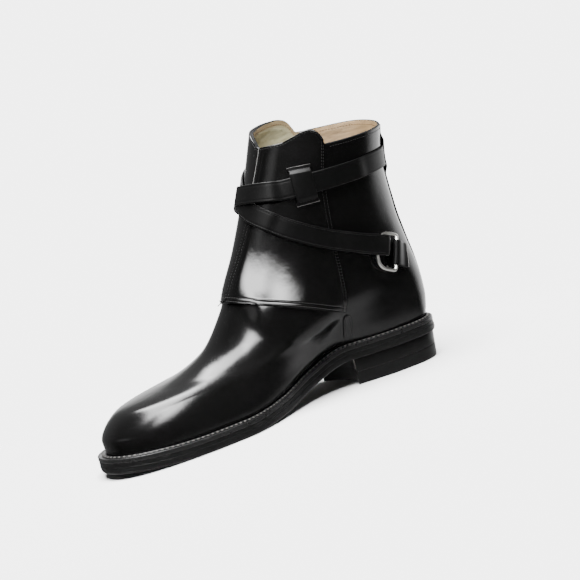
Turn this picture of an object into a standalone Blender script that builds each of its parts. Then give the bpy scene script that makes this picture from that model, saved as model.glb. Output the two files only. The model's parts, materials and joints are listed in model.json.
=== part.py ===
"""Wrap-strap ankle boot for the right foot, as an assembly of closed solids.

Toe along +X, inner (medial) side along +Y, +Z up, floor at Z = 0.
Sizes below are in millimetres and are turned into metres where a mesh is made.
"""
import math
from collections import namedtuple

import bmesh
import bpy
import numpy as np

MM = 0.001
GAP = 0.3
SEAT = 0.45
STRAP_SEAT = 0.6

# Sole, measured along the boot from the back of the welt
BOOT_LENGTH = 306.0
HEEL_HALF_MEDIAL = 33.9
HEEL_HALF_LATERAL = 35.0
WAIST_HALF_MEDIAL = 22.6
WAIST_HALF_LATERAL = 36.0
BALL_HALF_MEDIAL = 52.2
BALL_HALF_LATERAL = 56.2
TOE_SWING = 18.9
SWING_FROM = 0.52
HEEL_AT = 0.14
WAIST_AT = 0.36
BALL_AT_MEDIAL = 0.67
BALL_AT_LATERAL = 0.63
SOLE_FRONT_CAP = 0.65
SOLE_FRONT_POWER = 2.08
SOLE_BACK_CAP = 0.12
SOLE_BACK_POWER = 2.55

# Heights of the layers above the underside of the outsole
OUTSOLE_TOP = 5.0
MIDSOLE_TOP = 8.3
WELT_BOTTOM = MIDSOLE_TOP + GAP
WELT_LEDGE = 10.7
WELT_TOP = 11.65
BEAD_TOP = 12.9
INSOLE_TOP = 13.2
EDGE_TAPER = 1.2
EDGE_TAPER_RISE = 0.2
EDGE_TAPER_LEFT = 0.35
MIDSOLE_INSET = 0.5
WELT_EDGE_BEVEL = 0.6
WELT_TOP_BEVEL = 0.4
WELT_BESIDE = 0.22
WELT_CLEAR = 0.4

# Top of the welt: share of the way from its edge to the upper, height above the underside
Crest = namedtuple("Crest", "share height")
WELT_CRESTS = [
    Crest(0.10, WELT_TOP),
    Crest(0.38, WELT_TOP),
    Crest(0.48, WELT_TOP - 0.6),
    Crest(0.58, WELT_TOP),
    Crest(0.72, BEAD_TOP),
    Crest(0.92, BEAD_TOP),
    Crest(1.00, BEAD_TOP - 0.7),
    Crest(1.00, WELT_LEDGE),
]

# Heel
HEEL_HEIGHT = 20.7
TOP_PIECE_HEIGHT = 10.2
HEEL_BREAST = 86.0
HEEL_BREAST_BOW = 9.0
HEEL_INSET_TOP = 1.8
HEEL_INSET_BOTTOM = 3.4
TOE_SPRING = 4.8

# Leather
WALL = 2.2
PANEL = 1.2
STRAP_WIDTH = 15.5
STRAP = 2.0
KEEPER_WIDTH = 17.0
KEEPER = 1.5
BACKSTAY_WIDTH = 20.5
BACKSTAY = 1.6
SIDE_STRIP_WIDTH = 7.5
SIDE_STRIP = 1.0

# Ring
RING_WIRE = 1.5
RING_HEIGHT = 27.8
RING_DEPTH = 20.5
RING_ROUNDNESS = 0.42

# Mesh density
AROUND = 60
RINGS = 19
HALVINGS = 26
ROUTE_DENSITY = 24
BREAST_STEPS = 10
WIRE_SIDES = 8
BOW_STEPS = 15
BAR_STEPS = 7
FOLD_STEPS = 9
TAIL_STEPS = 5
TAB_LOW_STEPS = 4
TAB_HIGH_STEPS = 6
SEEK_STEPS = 3
KEEPER_STEPS = 13
BACKSTAY_STEPS = 26
SIDE_STRIP_STEPS = 5
SHARP_ANGLE = 40.0
SLOPE_STEP = 1e-3

# Underside of the outsole: share of the length, height
Underside = namedtuple("Underside", "station height")
UNDERSIDE = [
    Underside(0.00, HEEL_HEIGHT),
    Underside(0.29, HEEL_HEIGHT),
    Underside(0.40, 0.60 * HEEL_HEIGHT),
    Underside(0.52, 0.15 * HEEL_HEIGHT),
    Underside(0.61, 0.02 * HEEL_HEIGHT),
    Underside(0.65, 0.0),
    Underside(0.75, 0.0),
    Underside(0.81, 0.07 * TOE_SPRING),
    Underside(0.90, 0.40 * TOE_SPRING),
    Underside(1.00, TOE_SPRING),
]

# Sections of the last, from the feather edge up to the collar
Section = namedtuple(
    "Section",
    "front_x front_z back_x back_z heel_m waist_m ball_m heel_l waist_l ball_l "
    "front_cap front_power back_cap back_power swing",
)
SECTIONS = [
    Section(298.8, 15.8, 4.4, 31.7, 29.2, 17.0, 46.0, 30.3, 30.0, 50.0, 0.65, 2.08, 0.12, 2.55, 18.9),
    Section(299.5, 26.5, 1.6, 42.0, 31.6, 22.5, 48.0, 32.6, 33.0, 52.6, 0.64, 2.08, 0.12, 2.45, 18.0),
    Section(281.0, 43.0, -0.6, 53.0, 33.2, 28.5, 45.5, 34.0, 36.0, 50.5, 0.60, 2.06, 0.14, 2.35, 14.0),
    Section(235.0, 48.5, -0.9, 66.0, 34.2, 33.0, 41.0, 34.5, 38.0, 45.0, 0.55, 2.05, 0.17, 2.25, 9.0),
    Section(202.5, 58.5, 0.0, 80.0, 34.7, 36.0, 39.0, 35.0, 38.5, 41.5, 0.52, 2.05, 0.22, 2.15, 5.0),
    Section(176.5, 82.0, 2.2, 97.0, 35.0, 37.3, 38.0, 35.5, 38.3, 38.8, 0.50, 2.05, 0.30, 2.08, 2.0),
    Section(153.4, 116.0, 5.2, 124.0, 36.0, 38.2, 38.2, 36.0, 38.2, 38.2, 0.50, 2.05, 0.40, 2.00, 0.0),
    Section(128.6, 160.0, 6.4, 158.0, 37.6, 39.0, 39.0, 37.6, 39.0, 39.0, 0.50, 2.05, 0.45, 2.00, 0.0),
    Section(101.0, 219.0, -2.5, 201.0, 39.5, 40.5, 40.5, 39.5, 40.5, 40.5, 0.50, 2.05, 0.50, 2.00, 0.0),
]
TOP_SECTION = len(SECTIONS) - 1
FEATHER_FADE = 4.0

# Collar line: degrees round from the front, medial side positive, and height
Rim = namedtuple("Rim", "turn height")
COLLAR = [
    Rim(-180, 192.5),
    Rim(-145, 196.0),
    Rim(-110, 197.5),
    Rim(-94, 198.5),
    Rim(-88, 206.0),
    Rim(-79, 212.5),
    Rim(-60, 212.0),
    Rim(-38, 209.5),
    Rim(-15, 208.0),
    Rim(0, 203.0),
    Rim(8, 198.5),
    Rim(14, 197.3),
    Rim(35, 197.8),
    Rim(48, 200.0),
    Rim(59, 203.0),
    Rim(66, 201.5),
    Rim(71, 195.5),
    Rim(76, 189.3),
    Rim(110, 188.5),
    Rim(150, 189.5),
    Rim(180, 192.5),
]
RIM_BLEND_FROM = 6.0

# Panels: front edge and side seam in degrees at the vamp seam and at the collar
PANEL_FRONT_LOW = 1.0
PANEL_FRONT_TOP = 13.0
SIDE_SEAM_MEDIAL_TOP = 74.0
SIDE_SEAM_LATERAL_TOP = 91.0
SIDE_SEAM_X = 88.0
VAMP_SEAM_X = 174.0
VAMP_SEAM_Z = 93.0
VAMP_SEAM_FALL = 0.389
LAP = 4.5
LAP_FULL = 6.5
LAP_END = 15.0
LAP_MIDDLE = 9.0
LAP_REACH = 26.0
LAP_EASE = 8.0
PANEL_COLUMNS = 17
PANEL_ROWS = 9
BACK_STRAP_HEIGHT = 166.0

# Wrap strap: degrees round (running down from the ring), height of its middle
Turn = namedtuple("Turn", "turn height")
STRAP_ROUTE = [
    Turn(164, 80.0),
    Turn(136, 92.0),
    Turn(122, 99.5),
    Turn(88, 116.0),
    Turn(52, 134.5),
    Turn(35, 143.0),
    Turn(15, 151.5),
    Turn(0, 158.0),
    Turn(-20, 168.0),
    Turn(-40, 175.0),
    Turn(-70, 180.5),
    Turn(-110, 180.0),
    Turn(-150, 172.5),
    Turn(-180, BACK_STRAP_HEIGHT),
    Turn(-230, 164.3),
    Turn(-270, 163.3),
    Turn(-312, 163.2),
    Turn(-345, 164.0),
    Turn(-368, 163.5),
    Turn(-390, 158.0),
    Turn(-415, 146.0),
    Turn(-440, 131.0),
    Turn(-470, 114.0),
    Turn(-492, 103.0),
]
FOLD_TURN = 115.5
SEAM_TURN = 104.0
SEAM_EASE = 12.0
CROSS_FULL = 30.0
CROSS_EASE = 14.0
FOLD_TAIL = 15.0
FOLD_BACK = 7.8
FOLD_EASE = 34.0
FOLD_FALL = 30.0
RING_DROP = 4.0
KEEPER_CLEAR = 0.7
KEEPER_REACH = 5.0
KEEPER_EASE = 3.8
BACKSTAY_REACH = 9.0
BACKSTAY_EASE = 7.0
STRAP_STEP = 5.6
SIGHT = 2.0
TIP_LENGTH = 14.0
TIP_WIDTH = 0.35

# Small pieces on the upper, places in millimetres from the back of the welt
KEEPER_TOP = (95.0, 178.0)
KEEPER_BOTTOM = (97.0, 148.5)
BACKSTAY_TOP = 188.5
BACKSTAY_BOTTOM = 50.0
SIDE_STRIP_TOP = 57.0
SIDE_STRIP_BOTTOM = 39.5
SIDE_STRIP_X = 86.0
TAB_LENGTH = 13.0
TAB_FALL = 10.0
TAB_WIDTH = 19.5
TAB = 1.3

BLACK_LEATHER = (0.012, 0.012, 0.013, 1.0)
BLACK_EDGE = (0.02, 0.02, 0.021, 1.0)
BLACK_RUBBER = (0.028, 0.028, 0.029, 1.0)
TAN_LEATHER = (0.55, 0.43, 0.28, 1.0)
NICKEL = (0.62, 0.61, 0.58, 1.0)


def ease(share):
    """Smooth step from 0 to 1."""
    share = np.clip(share, 0.0, 1.0)
    return share * share * (3.0 - 2.0 * share)


def monotone(stations, values, at):
    """Smooth curve through rows that never overshoots them; values may hold several columns."""
    stations = np.asarray(stations, float)
    values = np.asarray(values, float)
    at = np.asarray(at, float)
    step = np.diff(stations).reshape((-1,) + (1,) * (values.ndim - 1))
    rise = np.diff(values, axis=0) / step
    before = 2.0 * step[1:] + step[:-1]
    after = step[1:] + 2.0 * step[:-1]
    same_way = rise[:-1] * rise[1:] > 0.0
    first = np.where(same_way, rise[:-1], 1.0)
    second = np.where(same_way, rise[1:], 1.0)
    inner = np.where(same_way, (before + after) / (before / first + after / second), 0.0)
    slope = np.concatenate([rise[:1], inner, rise[-1:]])
    k = np.clip(np.searchsorted(stations, at) - 1, 0, len(step) - 1)
    u = ((at - stations[k]) / np.diff(stations)[k]).reshape(at.shape + (1,) * (values.ndim - 1))
    start = (1.0 + 2.0 * u) * (1.0 - u) ** 2 * values[k] + u * (1.0 - u) ** 2 * step[k] * slope[k]
    end = u * u * (3.0 - 2.0 * u) * values[k + 1] + u * u * (u - 1.0) * step[k] * slope[k + 1]
    return start + end


def round_end(share, power):
    """Half-width of a rounded end, 1 where it starts and 0 at its tip."""
    return (1.0 - np.clip(share, 0.0, 1.0) ** power) ** (1.0 / power)


def plan_half_width(s, heel, waist, ball, ball_at):
    """Half-width of a foot's outline at a share of its length, before its ends are rounded."""
    rear = heel + (waist - heel) * ease((s - HEEL_AT) / (WAIST_AT - HEEL_AT))
    return rear + (ball - waist) * ease((s - WAIST_AT) / (ball_at - WAIST_AT))


def foot_outline(t, row):
    """Outline of one section: t is 0 at the front, pi at the back, medial side first."""
    s = 0.5 * (1.0 + np.cos(t))
    ends = round_end((s - row.front_cap) / (1.0 - row.front_cap), row.front_power)
    ends = ends * round_end((row.back_cap - s) / row.back_cap, row.back_power)
    medial = plan_half_width(s, row.heel_m, row.waist_m, row.ball_m, BALL_AT_MEDIAL)
    lateral = plan_half_width(s, row.heel_l, row.waist_l, row.ball_l, BALL_AT_LATERAL)
    swing = row.swing * np.clip((s - SWING_FROM) / (1.0 - SWING_FROM), 0.0, 1.0) ** 2
    y = swing + np.where(np.sin(t) >= 0.0, medial, -lateral) * ends
    x = row.back_x + s * (row.front_x - row.back_x)
    return x, y, s


def under(x):
    """Height of the outsole's underside."""
    stations = [row.station * BOOT_LENGTH for row in UNDERSIDE]
    return monotone(stations, [row.height for row in UNDERSIDE], np.clip(x, 0.0, BOOT_LENGTH))


def sole_ring(t, inset, height):
    """Ring of points round the sole, set in from its edge, at a height above its underside."""
    row = Section(
        BOOT_LENGTH - inset, 0.0, inset, 0.0,
        HEEL_HALF_MEDIAL - inset, WAIST_HALF_MEDIAL - inset, BALL_HALF_MEDIAL - inset,
        HEEL_HALF_LATERAL - inset, WAIST_HALF_LATERAL - inset, BALL_HALF_LATERAL - inset,
        SOLE_FRONT_CAP, SOLE_FRONT_POWER, SOLE_BACK_CAP, SOLE_BACK_POWER, TOE_SWING,
    )
    x, y, _ = foot_outline(t, row)
    return np.stack([x, y, under(x) + height], -1)


def upper_surface(t, v):
    """Outer face of the upper: t runs round, v counts the sections from feather edge to collar."""
    t = np.asarray(t, float)
    v = np.asarray(v, float)
    row = Section(*np.moveaxis(monotone(np.arange(len(SECTIONS)), SECTIONS, v), -1, 0))
    x, y, s = foot_outline(t, row)
    z = row.back_z + s * (row.front_z - row.back_z)
    first = SECTIONS[0]
    first_x = first.back_x + s * (first.front_x - first.back_x)
    plane = first.back_z + s * (first.front_z - first.back_z)
    feather = under(first_x) + WELT_LEDGE + GAP
    z = z + (feather - plane) * ease(1.0 - v / FEATHER_FADE)
    return np.stack([x, y, z], -1)


def upper_frame(t, v):
    """Point, unit normal and the two slopes of the upper's outer face."""
    t = np.asarray(t, float)
    v = np.asarray(v, float)
    point = upper_surface(t, v)
    along = (upper_surface(t + SLOPE_STEP, v) - upper_surface(t - SLOPE_STEP, v)) / (2.0 * SLOPE_STEP)
    low = np.clip(v - SLOPE_STEP, 0.0, TOP_SECTION)
    high = np.clip(v + SLOPE_STEP, 0.0, TOP_SECTION)
    up = (upper_surface(t, high) - upper_surface(t, low)) / (high - low)[..., None]
    normal = np.cross(along, up)
    normal = normal / np.linalg.norm(normal, axis=-1)[..., None]
    return point, normal, along, up


def lifted(t, v, lift):
    """Point of the upper's outer face moved out along its normal."""
    point, normal, _, _ = upper_frame(t, v)
    return point + normal * np.asarray(lift, float)[..., None]


def level(t, target):
    """Section count v at which the face reaches a height, which may depend on x."""
    t = np.asarray(t, float)
    low = np.zeros_like(t)
    high = np.full_like(t, float(TOP_SECTION))
    for _ in range(HALVINGS):
        middle = 0.5 * (low + high)
        point = upper_surface(t, middle)
        below = point[..., 2] < target(point[..., 0])
        low = np.where(below, middle, low)
        high = np.where(below, high, middle)
    return 0.5 * (low + high)


def at_height(t, z):
    """Section count v at a fixed height."""
    z = np.asarray(z, float)
    return level(t, lambda x: z)


def turn_at(x, z, side):
    """Angle t on one side at which the face passes a given x and height."""
    low = 0.0
    high = math.pi
    for _ in range(HALVINGS):
        middle = 0.5 * (low + high)
        v = at_height(np.array([side * middle]), np.array([z]))
        if upper_surface(np.array([side * middle]), v)[0, 0] > x:
            low = middle
        else:
            high = middle
    return side * 0.5 * (low + high)


def rim_count(t):
    """Section count v of the collar line."""
    turn = (np.degrees(t) + 180.0) % 360.0 - 180.0
    height = monotone([row.turn for row in COLLAR], [row.height for row in COLLAR], turn)
    return at_height(t, height)


def new_object(name, bm, colour, roughness, metallic=0.0):
    """Mesh object in metres, with the boot's middle over the origin."""
    bmesh.ops.recalc_face_normals(bm, faces=bm.faces)
    for vert in bm.verts:
        vert.co.x = (vert.co.x - ORIGIN_X) * MM
        vert.co.y = (vert.co.y - ORIGIN_Y) * MM
        vert.co.z = vert.co.z * MM
    mesh = bpy.data.meshes.new(name)
    bm.to_mesh(mesh)
    bm.free()
    mesh.shade_smooth()
    mesh.set_sharp_from_angle(angle=math.radians(SHARP_ANGLE))
    material = bpy.data.materials.new(name)
    material.use_nodes = True
    shader = material.node_tree.nodes["Principled BSDF"]
    shader.inputs["Base Color"].default_value = colour
    shader.inputs["Roughness"].default_value = roughness
    shader.inputs["Metallic"].default_value = metallic
    mesh.materials.append(material)
    item = bpy.data.objects.new(name, mesh)
    bpy.context.scene.collection.objects.link(item)
    return item


def add_rings(bm, rings, close_across):
    """Quads between rings of points that each close on themselves; returns the rings' vertices."""
    made = [[bm.verts.new(point) for point in ring] for ring in rings]
    count = len(made[0])
    pairs = list(zip(made, made[1:]))
    if close_across:
        pairs.append((made[-1], made[0]))
    for lower, higher in pairs:
        for i in range(count):
            j = (i + 1) % count
            bm.faces.new((lower[i], lower[j], higher[j], higher[i]))
    return made


def cross_strips(bm, ring):
    """Closes a sole ring with strips from its medial to its lateral edge."""
    count = len(ring)
    half = count // 2
    bm.faces.new((ring[0], ring[1], ring[count - 1]))
    for i in range(1, half - 1):
        bm.faces.new((ring[i], ring[i + 1], ring[count - i - 1], ring[count - i]))
    bm.faces.new((ring[half - 1], ring[half], ring[half + 1]))


def slab(rings):
    """Closed layer of the sole from its rings, bottom ring first."""
    bm = bmesh.new()
    made = add_rings(bm, rings, False)
    cross_strips(bm, made[0])
    cross_strips(bm, made[-1])
    return bm


def prism(loops):
    """Closed block between flat loops."""
    bm = bmesh.new()
    made = add_rings(bm, loops, False)
    bm.faces.new(made[0])
    bm.faces.new(made[-1])
    return bm


def hoop(rings):
    """Closed ring-shaped solid whose section is given ring by ring."""
    bm = bmesh.new()
    add_rings(bm, rings, True)
    return bm


def sheet(inner, outer):
    """Closed thin solid between two grids of points of the same size."""
    rows, columns = inner.shape[:2]
    bm = bmesh.new()
    grids = []
    for grid in (inner, outer):
        grids.append([[bm.verts.new(point) for point in line] for line in grid])
    for grid in grids:
        for r in range(rows - 1):
            for c in range(columns - 1):
                bm.faces.new((grid[r][c], grid[r][c + 1], grid[r + 1][c + 1], grid[r + 1][c]))
    low, high = grids
    border = [(0, c) for c in range(columns)]
    border += [(r, columns - 1) for r in range(1, rows)]
    border += [(rows - 1, c) for c in range(columns - 2, -1, -1)]
    border += [(r, 0) for r in range(rows - 2, 0, -1)]
    for (r, c), (s, d) in zip(border, border[1:] + border[:1]):
        bm.faces.new((low[r][c], low[s][d], high[s][d], high[r][c]))
    return bm


class Route:
    """Curve laid on the upper, measured in millimetres along itself."""

    def __init__(self, turns, heights):
        rows = np.arange(len(turns))
        dense = np.linspace(0, len(turns) - 1, ROUTE_DENSITY * len(turns))
        self.turns = np.radians(monotone(rows, turns, dense))
        self.heights = monotone(rows, heights, dense)
        points = upper_surface(self.turns, at_height(self.turns, self.heights))
        steps = np.linalg.norm(np.diff(points, axis=0), axis=1)
        self.marks = np.concatenate([[0.0], np.cumsum(steps)])
        self.length = float(self.marks[-1])

    def turn(self, along):
        """Angle t at a distance along the route."""
        return np.interp(along, self.marks, self.turns)

    def mark(self, degrees):
        """Distance along the route at which it passes an angle."""
        return float(np.interp(-math.radians(degrees), -self.turns, self.marks))

    def place(self, along, across, lift):
        """Points at distances along and across the route, lifted off the upper."""
        along = np.asarray(along, float)
        across = np.asarray(across, float)
        t = self.turn(along)
        v = at_height(t, np.interp(along, self.marks, self.heights))
        ahead = np.clip(along + SIGHT, 0.0, self.length)
        behind = np.clip(along - SIGHT, 0.0, self.length)
        t_ahead = self.turn(ahead)
        t_behind = self.turn(behind)
        tip = upper_surface(t_ahead, at_height(t_ahead, np.interp(ahead, self.marks, self.heights)))
        tail = upper_surface(t_behind, at_height(t_behind, np.interp(behind, self.marks, self.heights)))
        _, normal, _, _ = upper_frame(t, v)
        side = np.cross(normal, tip - tail)
        side = side / np.linalg.norm(side, axis=-1)[..., None]
        start = upper_surface(t, v)
        goal = start + side * across[..., None]
        for _ in range(SEEK_STEPS):
            point, _, along_t, along_v = upper_frame(t, v)
            miss = goal - point
            tt = np.sum(along_t * along_t, -1)
            vv = np.sum(along_v * along_v, -1)
            tv = np.sum(along_t * along_v, -1)
            mt = np.sum(along_t * miss, -1)
            mv = np.sum(along_v * miss, -1)
            scale = tt * vv - tv * tv
            t = t + (mt * vv - mv * tv) / scale
            v = np.clip(v + (mv * tt - mt * tv) / scale, 0.0, TOP_SECTION)
        return lifted(t, v, lift)


def ribbon(route, along, lift, lean, thickness, width, columns=3, shift=0.0):
    """Closed strap along a route: its middle's place and lift, its lean from the surface, its width."""
    along = np.asarray(along, float)
    lift = np.asarray(lift, float)
    lean = np.asarray(lean, float)
    width = np.broadcast_to(np.asarray(width, float), along.shape)
    half = 0.5 * thickness
    rings = []
    offsets = np.linspace(-0.5, 0.5, columns)
    for face in (-1.0, 1.0):
        at = along - face * half * np.sin(lean)
        high = lift + face * half * np.cos(lean)
        for offset in -face * offsets:
            rings.append(route.place(at, offset * width + shift, high))
    sections = np.stack(rings, 1)
    bm = bmesh.new()
    made = add_rings(bm, sections, False)
    bm.faces.new(made[0])
    bm.faces.new(made[-1])
    return bm


def full_turn(count):
    """Angles once round, starting at the front."""
    return np.arange(count) * 2.0 * math.pi / count


def origin_of_sole():
    """Middle of the sole's outline, used as the part's origin."""
    edge = sole_ring(full_turn(4 * AROUND), 0.0, 0.0)
    middle = 0.5 * (edge.min(axis=0) + edge.max(axis=0))
    return float(middle[0]), float(middle[1])


def build_sole():
    """Outsole and midsole."""
    t = full_turn(AROUND)
    rings = [
        sole_ring(t, EDGE_TAPER, 0.0),
        sole_ring(t, EDGE_TAPER_LEFT * EDGE_TAPER, EDGE_TAPER_RISE * OUTSOLE_TOP),
        sole_ring(t, 0.0, OUTSOLE_TOP),
    ]
    new_object("outsole", slab(rings), BLACK_EDGE, 0.5)
    rings = [
        sole_ring(t, MIDSOLE_INSET, OUTSOLE_TOP + GAP),
        sole_ring(t, MIDSOLE_INSET, MIDSOLE_TOP),
    ]
    new_object("midsole", slab(rings), BLACK_EDGE, 0.5)


def heel_loop(inset, height):
    """Outline of the heel at one height, with a hollow breast."""
    start = math.acos(2.0 * (HEEL_BREAST - inset) / (BOOT_LENGTH - 2.0 * inset) - 1.0)
    ring = sole_ring(np.linspace(start, 2.0 * math.pi - start, AROUND // 2), inset, 0.0)
    bow = np.linspace(-1.0, 1.0, BREAST_STEPS)[1:-1]
    breast_x = HEEL_BREAST - HEEL_BREAST_BOW * (1.0 - bow * bow)
    middle = 0.5 * (ring[0, 1] + ring[-1, 1])
    reach = 0.5 * (ring[0, 1] - ring[-1, 1])
    breast = np.stack([breast_x, middle + bow * reach, np.zeros_like(bow)], -1)
    loop = np.concatenate([ring, breast])
    loop[:, 2] = height
    return loop


def build_heel():
    """Heel stack and the top piece that stands on the floor."""
    share = TOP_PIECE_HEIGHT / HEEL_HEIGHT
    middle_inset = HEEL_INSET_BOTTOM + (HEEL_INSET_TOP - HEEL_INSET_BOTTOM) * share
    block = [heel_loop(HEEL_INSET_BOTTOM, 0.0), heel_loop(middle_inset, TOP_PIECE_HEIGHT)]
    new_object("heel_top_piece", prism(block), BLACK_RUBBER, 0.6)
    block = [heel_loop(middle_inset, TOP_PIECE_HEIGHT + GAP), heel_loop(HEEL_INSET_TOP, HEEL_HEIGHT - GAP)]
    new_object("heel_base", prism(block), BLACK_EDGE, 0.45)


def wall_offset(t, v, depth):
    """Inner face of the upper's wall."""
    return lifted(t, v, np.full_like(t, -depth))


def build_upper():
    """The hollow upper and the insole inside it."""
    t = full_turn(AROUND)
    top = rim_count(t)
    outer = []
    inner = []
    for share in np.linspace(0.0, TOP_SECTION, RINGS + 1):
        spread = max(0.0, share - RIM_BLEND_FROM) / (TOP_SECTION - RIM_BLEND_FROM)
        v = np.full_like(t, share) if spread == 0.0 else RIM_BLEND_FROM + (top - RIM_BLEND_FROM) * spread
        outer.append(upper_surface(t, v))
        inner.append(wall_offset(t, v, WALL))
    new_object("upper", hoop(outer + inner[::-1]), BLACK_LEATHER, 0.2)
    foot = wall_offset(t, np.zeros_like(t), WALL + GAP)
    rings = []
    for height in (WELT_BOTTOM, INSOLE_TOP):
        ring = foot.copy()
        ring[:, 2] = under(ring[:, 0]) + height
        rings.append(ring)
    new_object("insole", slab(rings), TAN_LEATHER, 0.7)


def build_welt():
    """Welt with a raised bead against the upper, all the way round."""
    t = full_turn(AROUND)
    beside = lifted(t, np.full_like(t, WELT_BESIDE), np.full_like(t, WELT_CLEAR))
    foot = wall_offset(t, np.zeros_like(t), WALL)

    def between(share, height):
        """Ring a share of the way from the sole's edge to the upper."""
        edge = sole_ring(t, 0.0, 0.0)
        ring = edge + (beside - edge) * share
        ring[:, 2] = under(ring[:, 0]) + height
        return ring

    def beneath(height):
        """Ring below the inner face of the upper's wall."""
        ring = foot.copy()
        ring[:, 2] = under(ring[:, 0]) + height
        return ring

    rings = [
        sole_ring(t, MIDSOLE_INSET, WELT_BOTTOM),
        sole_ring(t, 0.0, WELT_BOTTOM + WELT_EDGE_BEVEL),
        sole_ring(t, 0.0, WELT_TOP - WELT_TOP_BEVEL),
    ]
    rings += [between(crest.share, crest.height) for crest in WELT_CRESTS]
    rings += [beneath(WELT_LEDGE), beneath(WELT_BOTTOM)]
    new_object("welt", hoop(rings), BLACK_EDGE, 0.4)


def panel_grid(side, front_low, front_top, seam_top, lift):
    """Grid of points over one front panel, from the vamp seam up to the collar."""
    seam_z = VAMP_SEAM_Z - (VAMP_SEAM_X - SIDE_SEAM_X) * VAMP_SEAM_FALL
    seam_low = abs(turn_at(SIDE_SEAM_X, seam_z, side))
    grid = []
    for row in np.linspace(0.0, 1.0, PANEL_ROWS):
        front = math.radians(front_low + (front_top - front_low) * row)
        seam = seam_low + (math.radians(seam_top) - seam_low) * row
        t = np.linspace(front, side * seam, PANEL_COLUMNS)
        low = level(t, lambda x: VAMP_SEAM_Z - (VAMP_SEAM_X - x) * VAMP_SEAM_FALL)
        v = low + (rim_count(t) - low) * row
        past_edge = np.degrees(np.abs(t - front))
        grid.append(lifted(t, v, lift(past_edge)))
    return np.array(grid)


def lap_lift(past_edge):
    """Lift of the medial panel, which laps over the lateral one along its front edge."""
    return SEAT + (PANEL + GAP) * ease((LAP_END - past_edge) / (LAP_END - LAP_FULL))


def build_panels():
    """Front panels of the shaft, sewn over the vamp and the back quarters."""
    low = PANEL_FRONT_LOW
    top = PANEL_FRONT_TOP
    inner = panel_grid(1.0, low, top, SIDE_SEAM_MEDIAL_TOP, lap_lift)
    outer = panel_grid(1.0, low, top, SIDE_SEAM_MEDIAL_TOP, lambda past: lap_lift(past) + PANEL)
    new_object("medial_panel", sheet(inner, outer), BLACK_LEATHER, 0.2)
    seam = SIDE_SEAM_LATERAL_TOP
    inner = panel_grid(-1.0, low + LAP, top + LAP, seam, lambda past: np.full_like(past, SEAT))
    outer = panel_grid(-1.0, low + LAP, top + LAP, seam, lambda past: np.full_like(past, SEAT + PANEL))
    new_object("lateral_panel", sheet(inner, outer), BLACK_LEATHER, 0.2)


def strap_seat(turn):
    """Lift of the face that the strap lies on, at an angle round in degrees."""
    wrapped = (turn + 180.0) % 360.0 - 180.0
    on_panel = ease((SEAM_TURN + SEAM_EASE - np.abs(wrapped)) / SEAM_EASE)
    on_lap = ease((LAP_REACH - np.abs(wrapped - LAP_MIDDLE)) / LAP_EASE)
    return STRAP_SEAT + on_panel * (PANEL + SEAT) + on_lap * (PANEL + GAP)


def build_strap():
    """Wrap strap: folded round the ring, across the front, round the back and across the front again."""
    route = Route([row.turn for row in STRAP_ROUTE], [row.height for row in STRAP_ROUTE])
    ring_mark = route.mark(FOLD_TURN)
    half = 0.5 * STRAP
    fold_rise = 2.0 * RING_WIRE + 3.0 * GAP + STRAP
    tail = np.linspace(ring_mark + FOLD_TAIL, ring_mark - FOLD_BACK, TAIL_STEPS)
    fold_angle = np.linspace(-0.5 * math.pi, -1.5 * math.pi, FOLD_STEPS)[1:-1]
    fold_along = ring_mark - FOLD_BACK + 0.5 * fold_rise * np.cos(fold_angle)
    fold_lift = GAP + half + 0.5 * fold_rise * (1.0 + np.sin(fold_angle))
    steps = int((route.length - ring_mark + FOLD_BACK) / STRAP_STEP)
    main = np.linspace(ring_mark - FOLD_BACK, route.length, steps)
    turn = np.degrees(route.turn(main))
    second = ease((CROSS_FULL + CROSS_EASE - np.abs(turn + 360.0)) / CROSS_EASE)
    over_fold = ease((ring_mark + FOLD_TAIL + FOLD_EASE - main) / FOLD_FALL)
    seat = strap_seat(turn)
    main_lift = seat + half + second * (STRAP + GAP)
    main_lift = np.maximum(main_lift, GAP + half + over_fold * fold_rise)
    along = np.concatenate([tail, fold_along, main])
    lift = np.concatenate([np.full(tail.shape, GAP + half), fold_lift, main_lift])
    lean = np.concatenate([np.full(tail.shape, -math.pi), fold_angle - 0.5 * math.pi, np.zeros_like(main)])
    width = np.full(along.shape, STRAP_WIDTH)
    tip = ease((route.length - along) / TIP_LENGTH)
    width = width * (TIP_WIDTH + (1.0 - TIP_WIDTH) * np.sqrt(tip))
    new_object("wrap_strap", ribbon(route, along, lift, lean, STRAP, width), BLACK_LEATHER, 0.25)
    build_ring(route, ring_mark)


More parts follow.
